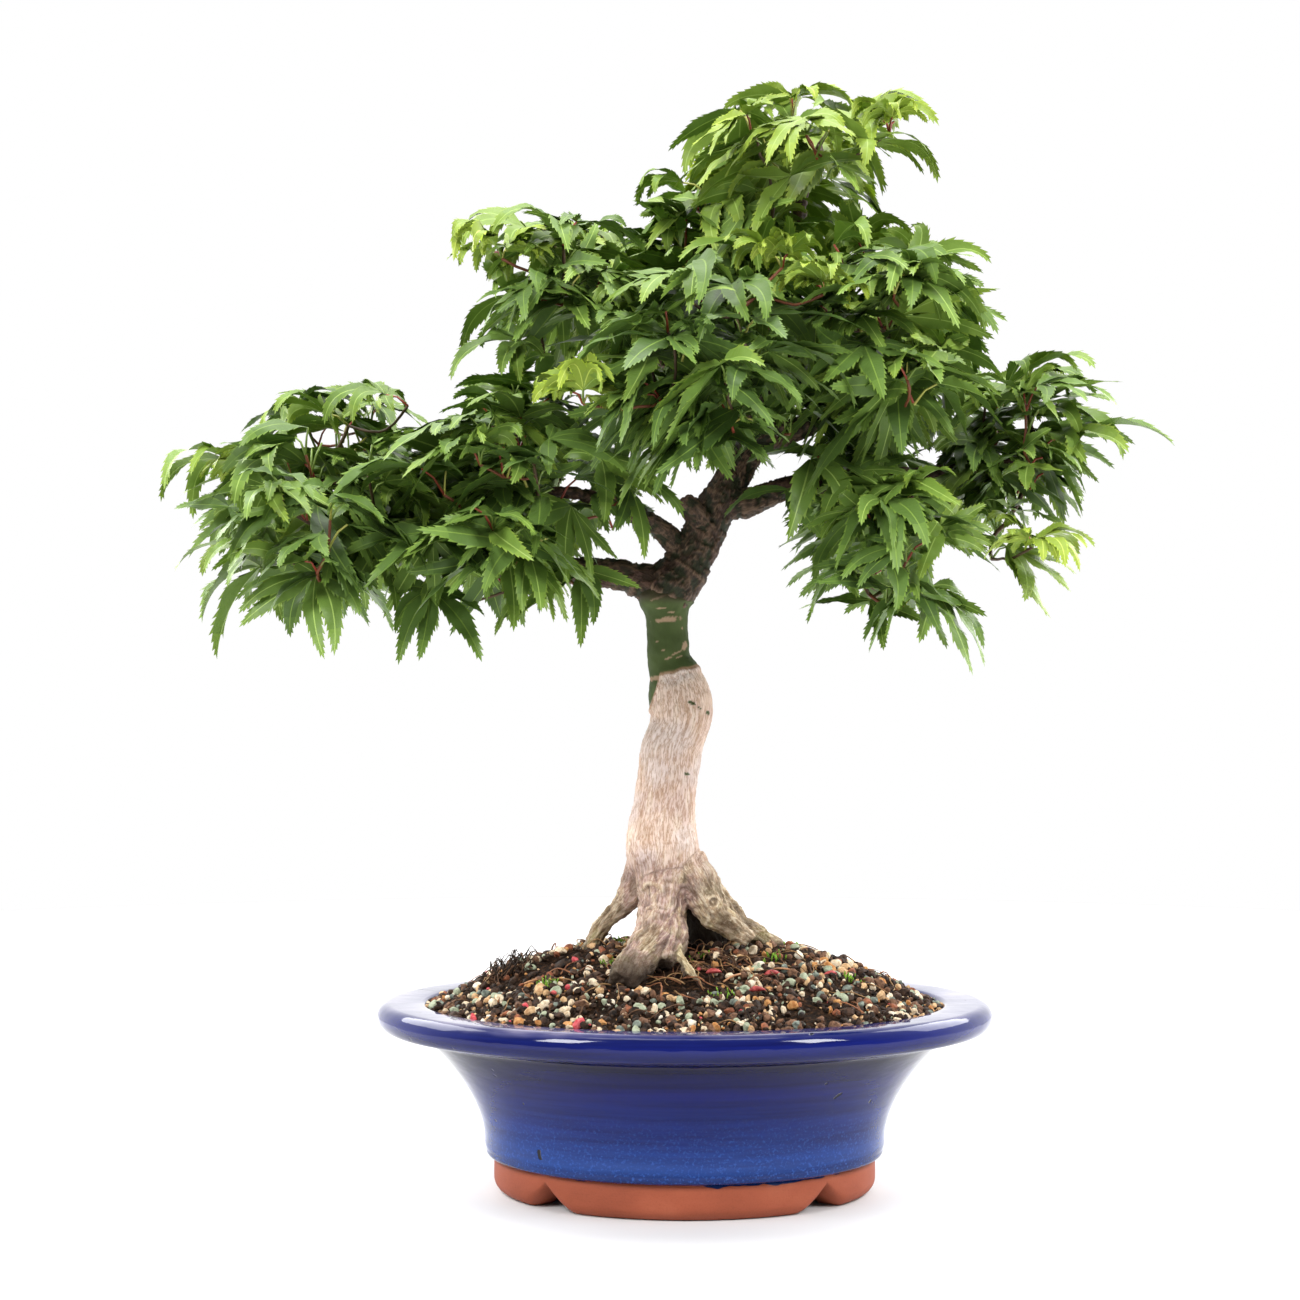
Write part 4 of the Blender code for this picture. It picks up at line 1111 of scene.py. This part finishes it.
def grow_lobes(rng, pattern, hub, axis, up, angle, length, width, droop, fold, curl, sway):
    """Corners of many lobes at once: hub, axis and up are rows of (x, y, z); the rest one
    number a lobe. A lobe leaves the hub at an angle from the axis, sways a little to one
    side and arches down under its own weight, folded along its rib."""
    n = len(hub)
    side = unit(np.cross(axis, up))
    steps = 20
    start = unit(np.cos(angle)[:, None] * axis + np.sin(angle)[:, None] * side + 0.24 * up
                 + rng.normal(0, 0.07, (n, 3)))
    beside = unit(np.cross(start, up))
    down = np.array((0.0, 0.0, -1.0))
    points, tangents = [hub], [start]
    for i in range(1, steps + 1):
        v = i / steps
        pull = np.clip(droop * v ** 1.25, 0, 0.97)[:, None]
        tangents.append(unit(start * (1 - pull) + down * pull + beside * (sway * v)[:, None]))
        points.append(points[-1] + tangents[-1] * (length / steps)[:, None])
    points, tangents = np.stack(points, 1), np.stack(tangents, 1)
    normal = unit(up + 0.25 * np.sin(angle)[:, None] * side)[:, None]
    normal = unit(normal - (normal * tangents).sum(-1, keepdims=True) * tangents)
    across = np.cross(tangents, normal)
    u, v = pattern[:, 0], pattern[:, 1]
    place = np.clip(v, 0, 1) * steps
    low = np.minimum(place.astype(int), steps - 1)
    t = (place - low)[None, :, None]

    def at(rows):
        return rows[:, low] * (1 - t) + rows[:, low + 1] * t

    here, over, out = at(points), at(normal), at(across)
    tooth = np.abs(u) > 1.01
    half = np.interp(v - tooth * 0.04, STATIONS, WIDTHS)
    rib = np.sign(u) * RIB_HALF * (0.45 + 0.55 * half)
    body = np.where(np.abs(u) < 0.1, rib, np.clip(u, -1, 1) * half)
    teeth = np.sign(u) * np.maximum(np.abs(u) - 1, 0) * TOOTH * (0.55 + 0.45 * half)
    reach = (body + teeth)[None, :] * width[:, None]
    twist = curl[:, None] * v[None, :]
    ct, st = np.cos(twist)[..., None], np.sin(twist)[..., None]
    out, over = out * ct + over * st, over * ct - out * st
    phase = rng.uniform(0, 6.3, n)[:, None]
    wave = np.sin(v[None, :] * 15 + np.sign(u)[None, :] * 1.3 + phase) * 0.20
    lift = np.abs(reach) * (np.tan(fold)[:, None] + wave * np.abs(np.clip(u, -1, 1))[None, :])
    return here + out * reach[..., None] + over * lift[..., None]


def mass_frame(size):
    """A mass's centre and radii in metres, and its turn."""
    centre, radii, tilt = size
    turn = np.array(Matrix.Rotation(math.radians(tilt), 3, "Y"))
    return np.array(centre) * MM, np.array(radii) * MM, turn


def towards(heading, rise=0.0):
    return np.array((math.cos(heading), math.sin(heading), rise))


def shoot_places(rng):
    """Where shoots end: spread evenly through each mass, a leaf's reach inside its surface,
    after the leaves and young shoots that stand out by name."""
    found, owners = [], []
    for leaf in OUTER_LEAVES:
        back = unit(towards(math.radians(leaf[3]), 0.5)) * 11 * MM
        found.append(np.array(leaf[:3]) * MM - back)
        owners.append((OUTER, leaf))
    for place in YOUNG_SHOOTS:
        found.append(np.array(place) * MM - np.array((0, -4, 6)) * MM)
        owners.append((YOUNG, None))
    for name, size in MASSES.items():
        centre, radii, turn = mass_frame(size)
        room = np.maximum(radii - np.array((22, 24, 14)) * MM, 4 * MM)
        tries = unit(rng.normal(size=(1200, 3))) * rng.uniform(0, 1, (1200, 1)) ** (1 / 2.8)
        for end in centre + (tries * room) @ turn.T:
            if all(np.linalg.norm(end - other) > SHOOT_SPACING for other in found):
                found.append(end)
                owners.append((name, None))
    return np.array(found), owners


def grow_twigs(rng, ends):
    """Joins every shoot's end to the nearest wood by a twig that sags, then rises; nearest
    shoots first. Gives nodes (place, parent, radius) and each shoot's own node."""
    nodes, parents = [], []
    for stations in BOUGHS.values():
        for row in smooth_path(stations, 6 * MM):
            if row[3] < TWIG_WOOD:
                nodes.append(row[:3])
                parents.append(-1)
    wood = len(nodes)
    trunk_top = np.array((0.030, 0.0, 0.285))
    order = np.argsort([min(np.linalg.norm(e - w) for w in nodes[:wood]) for e in ends])
    tips = {}
    for k in order:
        end = ends[k]
        have = np.array(nodes)
        gap = np.linalg.norm(have - end, axis=1)
        back = np.linalg.norm(have - trunk_top, axis=1)
        goal = np.linalg.norm(end - trunk_top)
        above = np.maximum(0, have[:, 2] - end[2] + 3 * MM)
        cost = gap + 0.35 * np.maximum(0, back - goal + 4 * MM) + 0.5 * above
        start = int(cost.argmin())
        a, b = have[start], end
        length = np.linalg.norm(b - a)
        steps = max(2, round(length / TWIG_STEP))
        bend = rng.normal(0, 0.05, 3) * length + np.array((0, 0, -0.10 * length))
        last = start
        for i in range(1, steps + 1):
            t = i / steps
            shake = rng.normal(0, 0.35 * MM, 3) * (i < steps)
            nodes.append(a + (b - a) * t + bend * math.sin(math.pi * t) + shake)
            parents.append(last)
            last = len(nodes) - 1
        tips[int(k)] = last
    radius = np.zeros(len(nodes))
    load = np.zeros(len(nodes))
    for tip in tips.values():
        load[tip] += 1
    for i in range(len(nodes) - 1, wood - 1, -1):
        load[i] = max(load[i], 1)
        radius[i] = TWIG_RADIUS * load[i] ** 0.42
        if parents[i] >= wood:
            load[parents[i]] += load[i]
    return np.array(nodes), parents, radius, tips, wood


def make_twigs(nodes, parents, radius, wood):
    """Tubes along the twigs; at every fork the first branch carries on the run."""
    children = {}
    for i in range(wood, len(nodes)):
        children.setdefault(parents[i], []).append(i)
    starts = [(p, c) for p, cs in children.items() for c in cs if p < wood or c != cs[0]]
    parts = []
    for parent, child in starts:
        run = [parent, child]
        while children.get(run[-1]):
            run.append(children[run[-1]][0])
        r = np.array([radius[i] for i in run])
        r[0] = r[1] * 1.05
        rows = np.concatenate([nodes[run], r[:, None]], 1)
        parts.append((*tube_arrays(rows, 7 if r[1] > 1.1 * MM else 5), int(r[1] < 0.95 * MM)))
    mats = [plain("twig_brown", (0.075, 0.045, 0.022), 0.6, 0.3),
            plain("twig_red", (0.16, 0.050, 0.022), 0.5, 0.35)]
    finish_piece(joined("twigs", parts, mats), "dark_bark")


def young_leaves(rng, place):
    """Four small bright leaves, spread and rising, as place_leaves gives them."""
    spin = rng.uniform(0, math.tau)
    found = []
    for i in range(4):
        heading = spin + i * math.tau / 4 + rng.normal(0, 0.2)
        axis = unit(towards(heading, rng.uniform(-0.1, 0.9)))
        hub = place + axis * rng.uniform(2, 6) * MM + np.array((0, 0, 3 * MM))
        found.append((hub, axis, place, rng.uniform(0.38, 0.66), 5.0 + rng.uniform(0, 1)))
    return found


def place_leaves(rng, nodes, parents, tips, owners):
    """Opposite pairs of leaves at the end of each shoot and one step back along it. Leaves
    high on a mass spread level, lower ones hang. A leaf is its hub, the heading of its
    middle lobe, where its stalk starts, its size, and its tone if it has one of its own."""
    leaves = []
    for k, tip in tips.items():
        owner, leaf = owners[k]
        place = nodes[tip]
        if owner == OUTER:
            x, y, z, heading, fall, size, tone = leaf
            axis = unit(towards(math.radians(heading), -fall))
            leaves.append((np.array((x, y, z)) * MM, axis, place, size, tone - 1))
            continue
        if owner == YOUNG:
            leaves += young_leaves(rng, place)
            continue
        centre, radii, turn = mass_frame(MASSES[owner])
        shoot = unit(place - nodes[parents[tip]])
        outward = unit(((place - centre) @ turn / radii ** 2) @ turn.T + np.array((0, 0, 4.0)))
        away = (np.array((outward[0], outward[1], 0.0))
                + 0.15 * unit(np.array((place[0] - 0.03, place[1], 0))))
        away += rng.normal(0, 0.12, 3) * (1, 1, 0)
        sideways = min(1.0, float(np.linalg.norm(away))) > 0.35
        spin = rng.normal(0, 0.35) if sideways else rng.uniform(0, math.tau)
        heading = math.atan2(away[1], away[0]) + spin
        sunk = clipped(0.5 - (place[2] - centre[2]) / (2 * radii[2]))
        for back, yaw, dip in PAIRS:
            if (abs(yaw) > 100 or back > 20) and rng.uniform() < 0.40:
                continue
            a = heading + math.radians(yaw) * (1.0 if sideways else 1.25) + rng.normal(0, 0.28)
            flat = towards(a)
            fall = 0.05 + 1.65 * sunk ** 1.25 + rng.uniform(-0.45, 0.50) + dip
            axis = unit(flat + np.array((0, 0, -fall)) + 0.2 * outward)
            base = place - shoot * back * MM
            stalk = unit(flat * 0.55 + np.array((0, 0, 0.75)) + outward * 0.4)
            hub = base + stalk * rng.uniform(7, 14) * MM
            size = rng.uniform(0.78, 1.10)
            if min((math.dist(hub, other[0]) for other in leaves), default=1.0) > LEAF_GAP:
                leaves.append((hub, axis, base, size, None))
        if rng.uniform() < 0.30:
            hub = place + unit(outward + np.array((0, 0, 0.8))) * 8 * MM
            axis = unit(outward + rng.normal(0, 0.3, 3))
            leaves.append((hub, axis, place, rng.uniform(0.5, 0.75), None))
    return leaves


def sunlit(hub):
    """Painted light on a leaf's green: 0 low inside the crown to 1 high and far out."""
    far = np.linalg.norm((hub - CROWN_MIDDLE) / np.array((0.2, 0.14, 0.13)))
    return clipped(0.75 * far + (hub[2] - 0.33) * 3.0 - 0.15)


def leaf_rows(rng, leaves):
    """One row a lobe: hub, axis, up, angle, length, width, droop, fold, curl, sway, place
    on the ladder of greens, and whether the leaf has a tone of its own."""
    rows = []
    for hub, axis, _, size, tone in leaves:
        own = tone is not None
        flat = unit(np.array((axis[0], axis[1], 0.0)))
        up = np.array((0, 0, 1.0)) + 0.45 * flat + rng.normal(0, 0.27, 3)
        up = unit(up - axis * np.dot(up, axis))
        #  painted light and shade: a leaf's green brighter near the top and far out, deeper at the
        #  front of the middle and at the left
        high = (clipped((hub[2] - 0.395) / 0.05) - clipped((-0.05 - hub[1]) / 0.05) * 1.1
                - 0.15 * clipped((-0.06 - hub[0]) / 0.05))
        step = 0.7 + high + 3.0 * sunlit(hub) + rng.normal(0, 0.8) + (1.2 if size < 0.78 else 0)
        step = tone if own else step + (2.0 if rng.uniform() < 0.035 else 0.0)
        droop = rng.uniform(0.66, 0.90) if own else rng.uniform(0.36, 0.86)
        droop *= 1 - 0.32 * clipped(-axis[2] - 0.15)
        fold = rng.uniform(-0.20, 0.50)
        spread = 0.62 if size < 0.7 else 1.04
        for angle, share in LOBES:
            if abs(angle) > 90 and rng.uniform() < 0.35:
                continue
            length = LOBE_LENGTH * size * share * rng.uniform(0.84, 1.14)
            rows.append((
                hub, axis, up, math.radians(angle * spread + rng.normal(0, 6)), length,
                (1.7 * MM + 0.065 * length) * rng.uniform(0.88, 1.12),
                droop * rng.uniform(0.8, 1.2), fold + rng.normal(0, 0.1), rng.normal(0, 0.35),
                rng.normal(0, 0.30) + math.radians(angle) * 0.12,
                int(np.clip(round(step + rng.normal(0, 0.45)), 0, 7)), own))
    return rows


def kept_lobes(corners, named):
    """Which lobes stay: those that leave the crown's openings free, seen from the front, and
    lie mostly in a mass. The leaves placed by name may reach out of the masses."""
    inside = np.zeros(corners.shape[:2], bool)
    for size in MASSES.values():
        centre, radii, turn = mass_frame(size)
        inside |= np.linalg.norm(((corners - centre) @ turn) / (radii + MASS_SLACK), axis=-1) < 1
    keep = named | (inside.mean(1) > 0.72)
    depth = 1 + corners[..., 1] / CAMERA_BACK
    x = corners[..., 0] / depth / MM
    z = ((corners[..., 2] - CAMERA_UP) / depth + CAMERA_UP) / MM
    for gx, gz, radius in SKY_GAPS:
        keep &= ((x - gx) ** 2 + (z - gz) ** 2 < radius ** 2).mean(1) < 0.10
    return keep


def leaf_material(name, colour):
    """Satin leaf skin with fine crinkles; its colour is plain and dealt out by spray."""
    look = Look(name, 0.42, 0.20)
    look.give("Base Color", colour)
    look.give("Normal", look.bump(look.grain(520, 2, 0.55), 0.30, 0.0005))
    return look.material


def make_leaves(rng, leaves):
    pattern, tris, parts = lobe_pattern()
    *shape, step, own = [np.array(column) for column in zip(*leaf_rows(rng, leaves))]
    corners = grow_lobes(rng, pattern, *shape)
    rib = len(LADDER)
    #  for each step: the material of each part of a lobe, with the tip one step and the toothed
    #  edge two steps lighter as painted light shining through them, greener ribs on darker leaves
    table = np.array([[i, i, i + 1, min(i + 2, rib - 1), rib + (i >= 2) + (i >= 6)]
                      for i in range(8)])
    mats = [leaf_material(name, colour) for name, colour in LADDER + RIBS]
    order = np.argsort(shape[0][:, 0], kind="stable")
    order = order[kept_lobes(corners, own)[order]]
    pieces = math.ceil(len(order) / (PIECE_TRIANGLES // len(tris)))
    for i, chosen in enumerate(np.array_split(order, pieces)):
        faces = tris[None] + (np.arange(len(chosen)) * len(pattern))[:, None, None]
        tones = table[step[chosen]][:, parts].reshape(-1)
        whole = (corners[chosen].reshape(-1, 3), faces.reshape(-1, 3), tones)
        finish_piece(joined(f"leaves_{i + 1}", [whole], mats), "foliage",
                     *(MASSES if i == 0 else ()))


def make_stalks(rng, leaves):
    parts = []
    for hub, axis, start, _, _ in leaves:
        middle = (hub + start) / 2 + np.array((0, 0, 1.5 * MM))
        rows = np.array([(*start, 0.55 * MM), (*middle, 0.42 * MM),
                         (*(hub + axis * 0.5 * MM), 0.40 * MM)])
        parts.append((*tube_arrays(rows, 4), rng.choice(3, p=(0.5, 0.25, 0.25))))
    mats = [plain("stalk_green", (0.16, 0.24, 0.04)), plain("stalk_yellow", (0.36, 0.36, 0.07)),
            plain("stalk_red", (0.26, 0.045, 0.022))]
    finish_piece(joined("leaf_stalks", parts, mats), "foliage")


# ------------------------------------------------------------------ studio

#  name, place, aim, width and height, power
LIGHTS = (("key_left", (-0.95, -1.05, 1.25), (0, 0, 0.25), (0.42, 0.7), 27),
          ("key_right", (1.1, -1.0, 1.3), (0, 0, 0.25), (0.42, 0.7), 27),
          ("top", (0, 0.1, 1.8), (0, 0, 0.2), (1.2, 1.2), 22),
          ("side_left", (-0.62, 0.32, 0.5), (-0.62, 0.3, 0), (0.6, 0.6), 8),
          ("side_right", (0.65, 0.32, 0.5), (0.65, 0.3, 0), (0.6, 0.6), 8))


def soft_light(name, place, aim, size, power):
    data = bpy.data.lights.new(name, "AREA")
    data.shape = "RECTANGLE"
    data.size, data.size_y = size
    data.energy = power
    light = bpy.data.objects.new(name, data)
    bpy.context.scene.collection.objects.link(light)
    light.location = place
    light.rotation_euler = (Vector(aim) - Vector(place)).to_track_quat("-Z", "Y").to_euler()


def studio():
    """Camera, white floor, lights, and a white world that is brighter towards the back."""
    scene = bpy.context.scene
    scene.view_settings.view_transform = "Standard"
    camera = bpy.data.objects.new("camera", bpy.data.cameras.new("camera"))
    scene.collection.objects.link(camera)
    camera.location = (0, -CAMERA_BACK, CAMERA_UP)
    camera.rotation_euler = (math.radians(CAMERA_TURN), 0, 0)
    camera.data.lens = LENS
    camera.data.sensor_width = SENSOR
    camera.data.clip_start = 0.01
    scene.camera = camera

    world = scene.world or bpy.data.worlds.new("studio")
    scene.world = world
    world.use_nodes = True
    sky = Nodes(world.node_tree)
    way = sky.node("ShaderNodeTexCoord").outputs["Generated"]
    back = sky.node("ShaderNodeSeparateXYZ", {"Vector": way}).outputs["Y"]
    glow = sky.node("ShaderNodeMapRange", {"Value": back, "From Min": -0.45, "From Max": 0.35,
                                           "To Min": 0.30, "To Max": 1.75}).outputs["Result"]
    seen = sky.node("ShaderNodeLightPath").outputs["Is Camera Ray"]
    white = world.node_tree.nodes["Background"]
    strength = sky.node("ShaderNodeMix", {0: seen, 2: glow, 3: 1.0}).outputs[0]
    sky.feed(white.inputs["Strength"], strength)
    sky.feed(white.inputs["Color"], (1, 1, 1))

    bm = bmesh.new()
    bmesh.ops.create_circle(bm, cap_ends=True, segments=96, radius=1.4)
    floor = plain("white_floor", (0.66, 0.66, 0.66), 0.6, 0.2)
    link("floor", mesh_from("floor", bm), [floor])
    for light in LIGHTS:
        soft_light(*light)


make_pot()
make_soil()
ground = np.random.default_rng(GROUND_SEED)
scatter_grit("coarse_grit", ground, 2300, (2.6 * MM, 6.6 * MM), 2, 0.10, GRIT_SHARES, 0.32)
scatter_grit("fine_grit", ground, 4200, (1.1 * MM, 2.9 * MM), 1, 0.15, GRIT_SHARES, 0.32)
scatter_grit("humus_crumbs", ground, 2600, (1.6 * MM, 5.2 * MM), 2, 0.05, CRUMB_SHARES, 0.0)
make_fibres(ground)
make_trunk()
make_boughs()
crown = np.random.default_rng(CROWN_SEED)
ends, owners = shoot_places(crown)
nodes, parents, radius, tips, wood = grow_twigs(crown, ends)
make_twigs(nodes, parents, radius, wood)
leaves = place_leaves(crown, nodes, parents, tips, owners)
make_leaves(crown, leaves)
make_stalks(crown, leaves)
studio()
